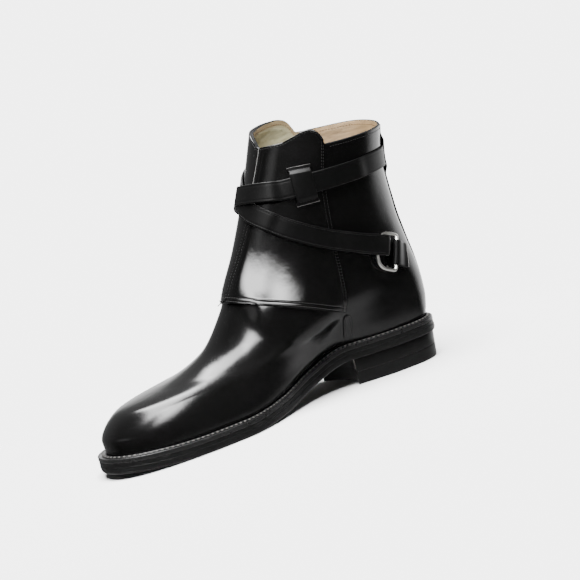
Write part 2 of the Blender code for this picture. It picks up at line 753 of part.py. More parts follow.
def build_ring(route, ring_mark):
    """D-ring held by the strap's fold, and the leather tab round its straight bar."""
    lift = GAP + STRAP + 1.5 * GAP + RING_WIRE
    bar = ring_mark - RING_DEPTH
    angle = np.linspace(0.5 * math.pi, -0.5 * math.pi, BOW_STEPS)
    bow_along = bar + RING_DEPTH * np.cos(angle) ** RING_ROUNDNESS
    bow_across = 0.5 * RING_HEIGHT * np.sin(angle)
    straight = np.linspace(-0.5, 0.5, BAR_STEPS)[1:-1] * RING_HEIGHT
    along = np.concatenate([bow_along, np.full(straight.shape, bar)])
    across = np.concatenate([bow_across, straight])
    across = across + RING_DROP
    middle = route.place(along, across, np.full(along.shape, lift))
    normal = route.place(along, across, np.full(along.shape, lift + 1.0)) - middle
    ahead = np.roll(middle, -1, axis=0) - np.roll(middle, 1, axis=0)
    outward = np.cross(ahead, normal)
    outward = outward / np.linalg.norm(outward, axis=-1)[:, None]
    rings = []
    for turn in full_turn(WIRE_SIDES):
        rings.append(middle + RING_WIRE * (math.cos(turn) * outward + math.sin(turn) * normal))
    new_object("ring", hoop(rings), NICKEL, 0.25, 1.0)
    rise = 2.0 * RING_WIRE + 2.0 * GAP + TAB
    fold_angle = np.linspace(-0.5 * math.pi, 0.5 * math.pi, FOLD_STEPS)
    fold_along = bar + 0.5 * rise * np.cos(fold_angle)
    fold_lift = lift + 0.5 * rise * np.sin(fold_angle)
    below = np.linspace(bar - TAB_LENGTH, bar, TAB_LOW_STEPS)[:-1]
    above = np.linspace(bar, bar - TAB_LENGTH, TAB_HIGH_STEPS)[1:]
    low_lift = np.full(below.shape, lift - 0.5 * rise)
    drop = ease((bar - above) / TAB_FALL)
    high_lift = lift + 0.5 * rise - drop * (rise - TAB - GAP)
    along = np.concatenate([below, fold_along, above])
    lift_all = np.concatenate([low_lift, fold_lift, high_lift])
    lean = np.concatenate([np.zeros_like(below), fold_angle + 0.5 * math.pi, np.full(above.shape, math.pi)])
    bm = ribbon(route, along, lift_all, lean, TAB, TAB_WIDTH, 3, RING_DROP)
    new_object("ring_tab", bm, BLACK_LEATHER, 0.3)


def upright(turns, heights):
    """Route that runs up or down the upper."""
    return Route(np.degrees(turns), heights)


def build_trim():
    """Keeper, backstay and the strips at the foot of the side seams."""
    top_turn = turn_at(KEEPER_TOP[0], KEEPER_TOP[1], 1.0)
    bottom_turn = turn_at(KEEPER_BOTTOM[0], KEEPER_BOTTOM[1], 1.0)
    route = upright([bottom_turn, top_turn], [KEEPER_BOTTOM[1], KEEPER_TOP[1]])
    along = np.linspace(0.0, route.length, KEEPER_STEPS)
    from_middle = np.abs(along - 0.5 * route.length)
    over = ease((0.5 * STRAP_WIDTH + KEEPER_REACH - from_middle) / KEEPER_EASE)
    lift = SEAT + PANEL + GAP + 0.5 * KEEPER + over * (STRAP + KEEPER_CLEAR)
    bm = ribbon(route, along, lift, np.zeros_like(along), KEEPER, KEEPER_WIDTH, 7)
    new_object("strap_keeper", bm, BLACK_LEATHER, 0.25)

    route = upright([math.pi, math.pi], [BACKSTAY_BOTTOM, BACKSTAY_TOP])
    along = np.linspace(0.0, route.length, BACKSTAY_STEPS)
    from_strap = np.abs(np.interp(along, route.marks, route.heights) - BACK_STRAP_HEIGHT)
    over = ease((0.5 * STRAP_WIDTH + BACKSTAY_REACH - from_strap) / BACKSTAY_EASE)
    lift = GAP + 0.5 * BACKSTAY + over * (STRAP + KEEPER_CLEAR)
    bm = ribbon(route, along, lift, np.zeros_like(along), BACKSTAY, BACKSTAY_WIDTH, 5)
    new_object("backstay", bm, BLACK_LEATHER, 0.22)

    for name, side in (("side_strip_medial", 1.0), ("side_strip_lateral", -1.0)):
        heights = np.linspace(SIDE_STRIP_BOTTOM, SIDE_STRIP_TOP, SIDE_STRIP_STEPS)
        route = upright([turn_at(SIDE_STRIP_X, z, side) for z in heights], heights)
        along = np.linspace(0.0, route.length, SIDE_STRIP_STEPS)
        lift = np.full(along.shape, SEAT + 0.5 * SIDE_STRIP)
        bm = ribbon(route, along, lift, np.zeros_like(along), SIDE_STRIP, SIDE_STRIP_WIDTH)
        new_object(name, bm, BLACK_LEATHER, 0.25)


for item in list(bpy.data.objects):
    bpy.data.objects.remove(item, do_unlink=True)

ORIGIN_X, ORIGIN_Y = origin_of_sole()

build_sole()
build_heel()
build_upper()
build_welt()
build_panels()
build_strap()
build_trim()
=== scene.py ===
"""Looks of a right-foot wrap-strap ankle boot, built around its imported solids.

The boot's form is worked out in millimetres, from the sizes of the part's source but with rounder lobes
on the collar. The toe points along +X and the medial side lies along +Y. Meshes are turned into metres.
"""
from __future__ import annotations

import json
import logging
import math
from dataclasses import dataclass, field, replace
from enum import Enum
from typing import Any, Callable, NamedTuple, Sequence

import bmesh
import bpy
import numpy as np
from mathutils import Matrix, Vector

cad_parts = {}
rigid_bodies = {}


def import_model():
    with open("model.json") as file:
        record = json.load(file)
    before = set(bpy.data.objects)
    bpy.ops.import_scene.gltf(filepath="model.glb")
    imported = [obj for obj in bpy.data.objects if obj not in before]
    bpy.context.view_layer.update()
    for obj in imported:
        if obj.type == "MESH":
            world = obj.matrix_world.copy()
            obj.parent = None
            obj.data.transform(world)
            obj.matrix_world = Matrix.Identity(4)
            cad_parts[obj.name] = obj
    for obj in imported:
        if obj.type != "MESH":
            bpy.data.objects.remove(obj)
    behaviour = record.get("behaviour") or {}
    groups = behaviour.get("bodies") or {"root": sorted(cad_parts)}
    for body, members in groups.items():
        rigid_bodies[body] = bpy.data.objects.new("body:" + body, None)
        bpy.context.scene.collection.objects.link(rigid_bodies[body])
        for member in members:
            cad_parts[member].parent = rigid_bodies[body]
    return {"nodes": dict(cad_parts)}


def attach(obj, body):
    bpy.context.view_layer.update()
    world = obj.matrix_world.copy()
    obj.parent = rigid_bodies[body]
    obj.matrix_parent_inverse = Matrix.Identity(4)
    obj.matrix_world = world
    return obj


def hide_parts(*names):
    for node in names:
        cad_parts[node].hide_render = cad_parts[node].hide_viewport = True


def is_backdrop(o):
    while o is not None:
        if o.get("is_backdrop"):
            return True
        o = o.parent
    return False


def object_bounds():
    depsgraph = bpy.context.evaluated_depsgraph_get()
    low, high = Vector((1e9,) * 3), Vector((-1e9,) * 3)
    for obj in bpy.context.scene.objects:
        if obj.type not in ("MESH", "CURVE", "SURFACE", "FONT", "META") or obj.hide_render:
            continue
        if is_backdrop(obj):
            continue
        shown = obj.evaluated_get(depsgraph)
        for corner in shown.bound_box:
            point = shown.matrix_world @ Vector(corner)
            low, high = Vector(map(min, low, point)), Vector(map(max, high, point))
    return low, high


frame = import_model()
CAD_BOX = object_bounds()

LOG = logging.getLogger("boot")
Array = np.ndarray
Line = tuple[Array, Array]
MM = 0.001
BODY = "root"
GAP = 0.3
SEAT = 0.45
SEAM = 1e-4
PANEL_THICKNESS = 1.2
STRAP_WIDTH = 15.5
STRAP_THICKNESS = 2.0
KEEPER_CLEAR = 0.5
VAMP_X = 174.0
VAMP_Z = 93.0
VAMP_FALL = 0.389
LATERAL_SEAM_TOP = 91.0
STITCH_PITCH = 2.3
STITCH_SUNK = 0.05
FULL_TURN = 2.0 * math.pi
HALF_TURN = math.pi
QUARTER_TURN = 0.5 * math.pi


class Side(Enum):
    """Side of the boot, as the sign of its turn from the front."""

    MEDIAL = 1.0
    LATERAL = -1.0


class Underside(NamedTuple):
    """Height of the outsole's underside at a share of its length."""

    station: float
    height: float


class Section(NamedTuple):
    """One section of the last, from its front to its back point."""

    front_x: float
    front_z: float
    back_x: float
    back_z: float
    heel_m: float
    waist_m: float
    ball_m: float
    heel_l: float
    waist_l: float
    ball_l: float
    front_cap: float
    front_power: float
    back_cap: float
    back_power: float
    swing: float


class Turn(NamedTuple):
    """Height at an angle round the boot, in degrees from the front, medial side positive."""

    turn: float
    height: float


class Dent(NamedTuple):
    """Soft hollow or, with a negative depth, swelling of the leather."""

    x: float
    y: float
    z: float
    lean: float
    long: float
    wide: float
    depth: float


HEEL_HEIGHT = 20.7
TOE_SPRING = 4.8
UNDERSIDE = [
    Underside(0.00, HEEL_HEIGHT),
    Underside(0.29, HEEL_HEIGHT),
    Underside(0.40, 0.60 * HEEL_HEIGHT),
    Underside(0.52, 0.15 * HEEL_HEIGHT),
    Underside(0.61, 0.02 * HEEL_HEIGHT),
    Underside(0.65, 0.0),
    Underside(0.75, 0.0),
    Underside(0.81, 0.07 * TOE_SPRING),
    Underside(0.90, 0.40 * TOE_SPRING),
    Underside(1.00, TOE_SPRING),
]
SECTIONS = [
    Section(298.8, 15.8, 4.4, 31.7, 29.2, 17.0, 46.0, 30.3, 30.0, 50.0, 0.65, 2.08, 0.12, 2.55, 18.9),
    Section(299.5, 26.5, 1.6, 42.0, 31.6, 22.5, 48.0, 32.6, 33.0, 52.6, 0.64, 2.08, 0.12, 2.45, 18.0),
    Section(281.0, 43.0, -0.6, 53.0, 33.2, 28.5, 45.5, 34.0, 36.0, 50.5, 0.60, 2.06, 0.14, 2.35, 14.0),
    Section(235.0, 48.5, -0.9, 66.0, 34.2, 33.0, 41.0, 34.5, 38.0, 45.0, 0.55, 2.05, 0.17, 2.25, 9.0),
    Section(202.5, 58.5, 0.0, 80.0, 34.7, 36.0, 39.0, 35.0, 38.5, 41.5, 0.52, 2.05, 0.22, 2.15, 5.0),
    Section(176.5, 82.0, 2.2, 97.0, 35.0, 37.3, 38.0, 35.5, 38.3, 38.8, 0.50, 2.05, 0.30, 2.08, 2.0),
    Section(153.4, 116.0, 5.2, 124.0, 36.0, 38.2, 38.2, 36.0, 38.2, 38.2, 0.50, 2.05, 0.40, 2.00, 0.0),
    Section(128.6, 160.0, 6.4, 158.0, 37.6, 39.0, 39.0, 37.6, 39.0, 39.0, 0.50, 2.05, 0.45, 2.00, 0.0),
    Section(101.0, 219.0, -2.5, 201.0, 39.5, 40.5, 40.5, 39.5, 40.5, 40.5, 0.50, 2.05, 0.50, 2.00, 0.0),
]
TOP_SECTION = len(SECTIONS) - 1
COLLAR = [
    Turn(-180, 192.5),
    Turn(-145, 196.0),
    Turn(-110, 197.5),
    Turn(-94, 198.5),
    Turn(-90, 202.5),
    Turn(-85, 207.5),
    Turn(-79, 210.8),
    Turn(-71, 212.3),
    Turn(-60, 212.5),
    Turn(-38, 211.2),
    Turn(-15, 208.6),
    Turn(0, 203.0),
    Turn(8, 198.5),
    Turn(14, 197.3),
    Turn(35, 197.8),
    Turn(48, 200.6),
    Turn(55, 202.7),
    Turn(60, 202.9),
    Turn(65, 201.2),
    Turn(69, 198.3),
    Turn(73, 193.8),
    Turn(76, 189.3),
    Turn(110, 188.5),
    Turn(150, 189.5),
    Turn(180, 192.5),
]
BACK_STRAP_HEIGHT = 166.0
STRAP_ROUTE = [
    Turn(164, 80.0),
    Turn(136, 92.0),
    Turn(122, 99.5),
    Turn(88, 116.0),
    Turn(52, 134.5),
    Turn(35, 143.0),
    Turn(15, 151.5),
    Turn(0, 158.0),
    Turn(-20, 168.0),
    Turn(-40, 175.0),
    Turn(-70, 180.5),
    Turn(-110, 180.0),
    Turn(-150, 172.5),
    Turn(-180, BACK_STRAP_HEIGHT),
    Turn(-230, 164.3),
    Turn(-270, 163.3),
    Turn(-312, 163.2),
    Turn(-345, 164.0),
    Turn(-368, 163.5),
    Turn(-390, 158.0),
    Turn(-415, 146.0),
    Turn(-440, 131.0),
    Turn(-470, 114.0),
    Turn(-492, 103.0),
]
DENTS = [
    Dent(170.0, 42.0, 47.0, -18.0, 42.0, 14.0, 3.6),
    Dent(66.0, 36.0, 108.0, 15.0, 16.0, 8.0, 0.40),
    Dent(52.0, 36.0, 92.0, 35.0, 14.0, 6.0, -0.30),
    Dent(120.0, -39.0, 66.0, 12.0, 20.0, 8.0, 0.45),
    Dent(192.0, -40.0, 50.0, -24.0, 18.0, 7.0, 0.50),
    Dent(70.0, -37.0, 100.0, 20.0, 18.0, 8.0, 0.40),
]


def ease(share: Array) -> Array:
    """Smooth step from 0 to 1."""
    share = np.clip(share, 0.0, 1.0)
    return share * share * (3.0 - 2.0 * share)


def monotone(stations: Sequence[float], values: Any, at: Array) -> Array:
    """Smooth curve through rows that never overshoots them.

    Args:
        stations: Places of the rows, rising.
        values: One number or one row of numbers for each station.
        at: Places to read.

    Returns:
        The values there, with the rows' columns last.
    """
    stations = np.asarray(stations, float)
    values = np.asarray(values, float)
    at = np.asarray(at, float)
    step = np.diff(stations).reshape((-1,) + (1,) * (values.ndim - 1))
    rise = np.diff(values, axis=0) / step
    before = 2.0 * step[1:] + step[:-1]
    after = step[1:] + 2.0 * step[:-1]
    same_way = rise[:-1] * rise[1:] > 0.0
    first = np.where(same_way, rise[:-1], 1.0)
    second = np.where(same_way, rise[1:], 1.0)
    inner = np.where(same_way, (before + after) / (before / first + after / second), 0.0)
    slope = np.concatenate([rise[:1], inner, rise[-1:]])
    k = np.clip(np.searchsorted(stations, at) - 1, 0, len(step) - 1)
    u = ((at - stations[k]) / np.diff(stations)[k]).reshape(at.shape + (1,) * (values.ndim - 1))
    start = (1.0 + 2.0 * u) * (1.0 - u) ** 2 * values[k] + u * (1.0 - u) ** 2 * step[k] * slope[k]
    end = u * u * (3.0 - 2.0 * u) * values[k + 1] + u * u * (u - 1.0) * step[k] * slope[k + 1]
    return start + end


def round_end(share: Array, power: Array) -> Array:
    """Half-width of a rounded end, 1 where it starts and 0 at its tip."""
    return (1.0 - np.clip(share, 0.0, 1.0) ** power) ** (1.0 / power)


def unit(vectors: Array) -> Array:
    """Vectors brought to length 1."""
    return vectors / np.maximum(np.linalg.norm(vectors, axis=-1), 1e-12)[..., None]


def full_turn(count: int) -> Array:
    """Angles once round, starting at the front."""
    return np.arange(count) * FULL_TURN / count


def closed_turn(count: int) -> Array:
    """Angles once round, with the front again at the end."""
    return np.append(full_turn(count), FULL_TURN)


def wrapped(degrees: Array) -> Array:
    """Angles brought between -180 and 180 degrees."""
    return (degrees + 180.0) % 360.0 - 180.0


def vamp_seam(x: Array) -> Array:
    """Height of the vamp seam at a place along the boot."""
    return VAMP_Z - (VAMP_X - x) * VAMP_FALL


@dataclass(frozen=True)
class Creases:
    """Soft unevenness of the leather: a ripple, a ridge above the vamp seam and the hollows in DENTS."""

    ripple: float = 0.07
    long_wave: tuple[float, ...] = (13.0, 19.0, 15.0, 23.0)
    long_bend: float = 0.8
    short_wave: tuple[float, ...] = (7.5, 9.0, 11.0, 8.0)
    short_share: float = 0.6
    ripple_from_z: float = 34.0
    ripple_ease_z: float = 14.0
    ripple_to_x: float = 250.0
    ripple_ease_x: float = 60.0
    ridge: float = 2.8
    ridge_slant: float = 0.93
    ridge_above: float = 44.0
    ridge_below: float = 26.0
    ridge_front: float = 168.0
    ridge_front_ease: float = 14.0
    ridge_back: float = 92.0
    ridge_back_ease: float = 24.0
    dent_thickness: float = 16.0

    def ripples(self, x: Array, y: Array, z: Array) -> Array:
        """Fine waves, fading out towards the sole and the toe."""
        first, second, third, fourth = self.long_wave
        wave = np.sin(x / first + self.long_bend * np.sin(z / second)) * np.sin(z / third + y / fourth)
        first, second, third, fourth = self.short_wave
        wave += self.short_share * np.sin(x / first + z / second) * np.sin(y / third - z / fourth)
        low = ease((z - self.ripple_from_z) / self.ripple_ease_z)
        return self.ripple * wave * low * ease((self.ripple_to_x - x) / self.ripple_ease_x)

    def seam_ridge(self, x: Array, z: Array) -> Array:
        """Swelling above the vamp seam, between the front and the side seam."""
        above = self.ridge_slant * (z - vamp_seam(x))
        upper = np.clip(1.0 - above / self.ridge_above, 0.0, 1.0) ** 2
        ridge = np.where(above > 0.0, upper, 1.0 - (above / self.ridge_below) ** 2)
        beside = ease((self.ridge_front - x) / self.ridge_front_ease)
        beside = beside * ease((x - self.ridge_back) / self.ridge_back_ease)
        return self.ridge * beside * np.clip(ridge, 0.0, 1.0)

    def hollows(self, x: Array, y: Array, z: Array) -> Array:
        """Depth of the hollows listed in DENTS."""
        depth = np.zeros_like(x)
        for dent in DENTS:
            lean = math.radians(dent.lean)
            along = (x - dent.x) * math.cos(lean) + (z - dent.z) * math.sin(lean)
            across = (z - dent.z) * math.cos(lean) - (x - dent.x) * math.sin(lean)
            aside = (y - dent.y) / self.dent_thickness
            spread = (along / dent.long) ** 2 + (across / dent.wide) ** 2 + aside ** 2
            depth += dent.depth * np.exp(-spread)
        return depth

    def move(self, point: Array) -> Array:
        """Move along the normal at points on the upper."""
        x, y, z = np.moveaxis(point, -1, 0)
        return self.ripples(x, y, z) + self.seam_ridge(x, z) - self.hollows(x, y, z)


@dataclass
class Last:
    """Form of the boot in millimetres, from the back of the welt, with the sizes of the part's source."""

    length: float = 306.0
    heel_medial: float = 33.9
    heel_lateral: float = 35.0
    waist_medial: float = 22.6
    waist_lateral: float = 36.0
    ball_medial: float = 52.2
    ball_lateral: float = 56.2
    toe_swing: float = 18.9
    swing_from: float = 0.52
    heel_at: float = 0.14
    waist_at: float = 0.36
    ball_at_medial: float = 0.67
    ball_at_lateral: float = 0.63
    front_cap: float = 0.65
    front_power: float = 2.08
    back_cap: float = 0.12
    back_power: float = 2.55
    welt_ledge: float = 10.7
    feather_fade: float = 4.0
    halvings: int = 26
    slope_step: float = 1e-3
    outline_points: int = 240
    creases: Creases = Creases()
    origin: Array = field(init=False)

    def __post_init__(self) -> None:
        """Works out the middle of the sole's outline, which is the part's origin."""
        self.origin = np.zeros(3)
        edge = self.sole_ring(full_turn(self.outline_points), 0.0, 0.0)
        middle = 0.5 * (edge.min(axis=0) + edge.max(axis=0))
        self.origin = np.array([middle[0], middle[1], 0.0])

    def half_width(self, s: Array, heel: Array, waist: Array, ball: Array, ball_at: float) -> Array:
        """Half-width of a foot's outline at a share of its length, before its ends are rounded."""
        rear = heel + (waist - heel) * ease((s - self.heel_at) / (self.waist_at - self.heel_at))
        return rear + (ball - waist) * ease((s - self.waist_at) / (ball_at - self.waist_at))

    def outline(self, t: Array, row: Section) -> tuple[Array, Array, Array]:
        """Outline of one section.

        Args:
            t: Angles, 0 at the front and pi at the back, medial side first.
            row: The section, whose fields may be arrays.

        Returns:
            x, y and the share of the length.
        """
        s = 0.5 * (1.0 + np.cos(t))
        ends = round_end((s - row.front_cap) / (1.0 - row.front_cap), row.front_power)
        ends = ends * round_end((row.back_cap - s) / row.back_cap, row.back_power)
        medial = self.half_width(s, row.heel_m, row.waist_m, row.ball_m, self.ball_at_medial)
        lateral = self.half_width(s, row.heel_l, row.waist_l, row.ball_l, self.ball_at_lateral)
        swing = row.swing * np.clip((s - self.swing_from) / (1.0 - self.swing_from), 0.0, 1.0) ** 2
        y = swing + np.where(np.sin(t) >= 0.0, medial, -lateral) * ends
        x = row.back_x + s * (row.front_x - row.back_x)
        return x, y, s

    def under(self, x: Array) -> Array:
        """Height of the outsole's underside."""
        stations = [row.station * self.length for row in UNDERSIDE]
        return monotone(stations, [row.height for row in UNDERSIDE], np.clip(x, 0.0, self.length))

    def sole_ring(self, t: Array, inset: float, height: float) -> Array:
        """Points round the sole, set in from its edge, at a height above its underside."""
        row = Section(
            self.length - inset, 0.0, inset, 0.0,
            self.heel_medial - inset, self.waist_medial - inset, self.ball_medial - inset,
            self.heel_lateral - inset, self.waist_lateral - inset, self.ball_lateral - inset,
            self.front_cap, self.front_power, self.back_cap, self.back_power, self.toe_swing,
        )
        x, y, _ = self.outline(t, row)
        return np.stack([x, y, self.under(x) + height], -1)

    def surface(self, t: Array, v: Array) -> Array:
        """Outer face of the upper: t runs round, v counts the sections from feather edge to collar."""
        t = np.asarray(t, float)
        v = np.asarray(v, float)
        row = Section(*np.moveaxis(monotone(np.arange(len(SECTIONS)), SECTIONS, v), -1, 0))
        x, y, s = self.outline(t, row)
        z = row.back_z + s * (row.front_z - row.back_z)
        first = SECTIONS[0]
        first_x = first.back_x + s * (first.front_x - first.back_x)
        plane = first.back_z + s * (first.front_z - first.back_z)
        feather = self.under(first_x) + self.welt_ledge + GAP
        z = z + (feather - plane) * ease(1.0 - v / self.feather_fade)
        return np.stack([x, y, z], -1)

    def slopes(self, t: Array, v: Array) -> tuple[Array, Array, Array, Array]:
        """Point, outward normal and the two slopes of the upper's outer face."""
        t = np.asarray(t, float)
        v = np.asarray(v, float)
        d = self.slope_step
        point = self.surface(t, v)
        along = (self.surface(t + d, v) - self.surface(t - d, v)) / (2.0 * d)
        low = np.clip(v - d, 0.0, TOP_SECTION)
        high = np.clip(v + d, 0.0, TOP_SECTION)
        up = (self.surface(t, high) - self.surface(t, low)) / (high - low)[..., None]
        return point, unit(np.cross(along, up)), along, up

    def lifted(self, t: Array, v: Array, lift: Array | float) -> Array:
        """Point of the upper's outer face moved out along its normal."""
        point, normal, _, _ = self.slopes(t, v)
        return point + normal * (lift + self.relief(point))[..., None]

    def line(self, t: Array, v: Array, lift: Array | float) -> Line:
        """Lifted points of the upper's outer face, and their normals."""
        return self.lifted(t, v, lift), self.slopes(t, v)[1]

    def level(self, t: Array, target: Callable[[Array], Array]) -> Array:
        """Section count at which the face reaches a height that may depend on x."""
        t = np.asarray(t, float)
        low = np.zeros_like(t)
        high = np.full_like(t, float(TOP_SECTION))
        for _ in range(self.halvings):
            middle = 0.5 * (low + high)
            point = self.surface(t, middle)
            below = point[..., 2] < target(point[..., 0])
            low = np.where(below, middle, low)
            high = np.where(below, high, middle)
        return 0.5 * (low + high)

    def at_height(self, t: Array, z: Array) -> Array:
        """Section count at a fixed height."""
        z = np.asarray(z, float)
        return self.level(t, lambda x: z)

    def turn_at(self, x: float, z: float, side: Side) -> float:
        """Angle on one side at which the face passes a given x and height."""
        low = 0.0
        high = HALF_TURN
        for _ in range(self.halvings):
            middle = 0.5 * (low + high)
            t = np.array([side.value * middle])
            if self.surface(t, self.at_height(t, np.array([z])))[0, 0] > x:
                low = middle
            else:
                high = middle
        return side.value * 0.5 * (low + high)

    def rim(self, t: Array, drop: float = 0.0) -> Array:
        """Section count of the collar line, or of a line below it."""
        height = monotone(*zip(*COLLAR), wrapped(np.degrees(t)))
        return self.at_height(t, height - drop)

    def relief(self, point: Array) -> Array:
        """Unevenness of the leather, as a move along the normal in millimetres."""
        return self.creases.move(point)


class Route:
    """Curve laid on the upper, measured in millimetres along itself."""

    SIGHT = 2.0
    SEEK = 3
    DENSITY = 40

    def __init__(self, last: Last, turns: Sequence[float], heights: Sequence[float]) -> None:
        """Lays the curve through rows of degrees round and heights."""
        self.last = last
        rows = np.arange(len(turns))
        dense = np.linspace(0, len(turns) - 1, self.DENSITY * len(turns))
        self.turns = np.radians(monotone(rows, turns, dense))
        self.heights = monotone(rows, heights, dense)
        self.counts = last.at_height(self.turns, self.heights)
        points = last.surface(self.turns, self.counts)
        steps = np.linalg.norm(np.diff(points, axis=0), axis=1)
        self.marks = np.concatenate([[0.0], np.cumsum(steps)])
        self.length = float(self.marks[-1])

    def on(self, along: Array) -> tuple[Array, Array]:
        """Angle and section count at a distance along the route."""
        return np.interp(along, self.marks, self.turns), np.interp(along, self.marks, self.counts)

    def mark(self, degrees: float) -> float:
        """Distance along the route at which it passes an angle."""
        return float(np.interp(-math.radians(degrees), -self.turns, self.marks))

    def seek(self, along: Array, across: Array) -> tuple[Array, Array]:
        """Angle and section count of a place beside the route."""
        along = np.asarray(along, float)
        across = np.asarray(across, float)
        t, v = self.on(along)
        tip = self.last.surface(*self.on(np.clip(along + self.SIGHT, 0.0, self.length)))
        tail = self.last.surface(*self.on(np.clip(along - self.SIGHT, 0.0, self.length)))
        start, normal, _, _ = self.last.slopes(t, v)
        goal = start + unit(np.cross(normal, tip - tail)) * across[..., None]
        for _ in range(self.SEEK):
            point, _, along_t, along_v = self.last.slopes(t, v)
            miss = goal - point
            tt = np.sum(along_t * along_t, -1)
            vv = np.sum(along_v * along_v, -1)
            tv = np.sum(along_t * along_v, -1)
            mt = np.sum(along_t * miss, -1)
            mv = np.sum(along_v * miss, -1)
            scale = tt * vv - tv * tv
            t = t + (mt * vv - mv * tv) / scale
            v = np.clip(v + (mv * tt - mt * tv) / scale, 0.0, TOP_SECTION)
        return t, v

    def place(self, along: Array, across: Array, lift: Array | float) -> Array:
        """Points at distances along and across the route, lifted off the upper."""
        return self.last.lifted(*self.seek(along, across), lift)

    def line(self, along: Array, across: Array, lift: Array | float) -> Line:
        """Lifted points beside the route, and their normals."""
        return self.last.line(*self.seek(along, across), lift)


class Signal:
    """Shader socket that takes part in Python expressions."""

    def __init__(self, board: Board, socket: bpy.types.NodeSocket) -> None:
        """Keeps the socket and the board it is on."""
        self.board = board
        self.socket = socket

    def _math(self, operation: str, first: Any, second: Any) -> Signal:
        """Adds one Math node."""
        return self.board.add("ShaderNodeMath", {"operation": operation}, {0: first, 1: second})

    def __add__(self, other: Signal | float) -> Signal:
        """Sum."""
        return self._math("ADD", self, other)

    def __radd__(self, other: float) -> Signal:
        """Sum with a number first."""
        return self._math("ADD", other, self)

    def __sub__(self, other: Signal | float) -> Signal:
        """Difference."""
        return self._math("SUBTRACT", self, other)

    def __rsub__(self, other: float) -> Signal:
        """Difference from a number."""
        return self._math("SUBTRACT", other, self)

    def __mul__(self, other: Signal | float) -> Signal:
        """Product."""
        return self._math("MULTIPLY", self, other)

    def __rmul__(self, other: float) -> Signal:
        """Product with a number first."""
        return self._math("MULTIPLY", other, self)

    def step(self, low: float, high: float) -> Signal:
        """Smooth step from 0 at low to 1 at high."""
        sockets = {"Value": self, "From Min": low, "From Max": high}
        return self.board.add("ShaderNodeMapRange", {"interpolation_type": "SMOOTHSTEP"}, sockets)


class Board:
    """Node tree of a material, a lamp or the surround, with its coordinates and its closing shader."""

    def __init__(self, owner: bpy.types.ID) -> None:
        """Starts with the owner's empty tree."""
        owner.use_nodes = True
        self.owner = owner
        self.tree = owner.node_tree
        self.tree.nodes.clear()

    def add(
        self, kind: str, settings: dict[str, Any], sockets: dict[Any, Any], output: int | str = 0
    ) -> Signal:
        """Adds any node.

        Args:
            kind: Type of the node.
            settings: Its own settings, set first.
            sockets: Values or signals of its input sockets, by name or number.
            output: The output socket wanted, by name or number.

        Returns:
            That output as a signal.
        """
        node = self.tree.nodes.new(kind)
        for key, value in settings.items():
            setattr(node, key, value)
        for key, value in sockets.items():
            if isinstance(value, Signal):
                self.tree.links.new(value.socket, node.inputs[key])
            else:
                node.inputs[key].default_value = value
        return Signal(self, node.outputs[output])

    def place(self) -> Signal:
        """Object coordinates, in metres."""
        return self.add("ShaderNodeTexCoord", {}, {}, "Object")

    def part(self, vector: Signal, number: int) -> Signal:
        """One axis of a vector."""
        return self.add("ShaderNodeSeparateXYZ", {}, {0: vector}, number)

    def laid(self, number: int) -> Signal:
        """One axis of the piece's own map: 0 along it, 1 across it."""
        return self.part(self.add("ShaderNodeUVMap", {"uv_map": "laid"}, {}), number)

    def axis(self, number: int) -> Signal:
        """One axis of the object coordinates."""
        return self.part(self.place(), number)

    def noise(self, scale: float, detail: float = 2.0, roughness: float = 0.5) -> Signal:
        """Cloudy pattern from 0 to 1."""
        sockets = {"Vector": self.place(), "Scale": scale, "Detail": detail, "Roughness": roughness}
        return self.add("ShaderNodeTexNoise", {}, sockets)

    def cells(self, scale: float) -> Signal:
        """Distance to the middle of the nearest cell."""
        return self.add("ShaderNodeTexVoronoi", {}, {"Vector": self.place(), "Scale": scale})

    def streaks(self, stretch: Sequence[float], scale: float, detail: float = 3.0) -> Signal:
        """Cloudy pattern drawn out along an axis."""
        spread = self.add("ShaderNodeMapping", {}, {"Vector": self.place(), "Scale": tuple(stretch)})
        return self.add("ShaderNodeTexNoise", {}, {"Vector": spread, "Scale": scale, "Detail": detail})

    def mix(self, factor: Signal, first: Any, second: Any) -> Signal:
        """Colour between two colours."""
        settings = {"data_type": "RGBA"}
        return self.add("ShaderNodeMix", settings, {0: factor, 6: first, 7: second}, 2)

    def bump(self, height: Signal) -> Signal:
        """Normal from a height in metres."""
        return self.add("ShaderNodeBump", {}, {"Strength": 1.0, "Distance": 1.0, "Height": height})

    def end(self, kind: str, shader: str, sockets: dict[str, Any]) -> None:
        """Ends the tree in a shader and an output of those types."""
        light = self.add(shader, {}, sockets)
        output = self.tree.nodes.new(kind)
        self.tree.links.new(light.socket, output.inputs["Surface"])

    def close(self, sockets: dict[str, Any]) -> bpy.types.Material:
        """Ends the tree in a Principled shader and gives the material."""
        self.end("ShaderNodeOutputMaterial", "ShaderNodeBsdfPrincipled", sockets)
        return self.owner


Colour = tuple[float, float, float, float]


def grey(level: float, warmth: float = 0.0) -> Colour:
    """Grey of one level, a little warm or cold."""
    return (level * (1.0 + warmth), level, level * (1.0 - warmth), 1.0)


def shaded(colour: Colour, share: float) -> Colour:
    """Colour darkened to a share of itself."""
    return tuple(share * part for part in colour[:3]) + (1.0,)


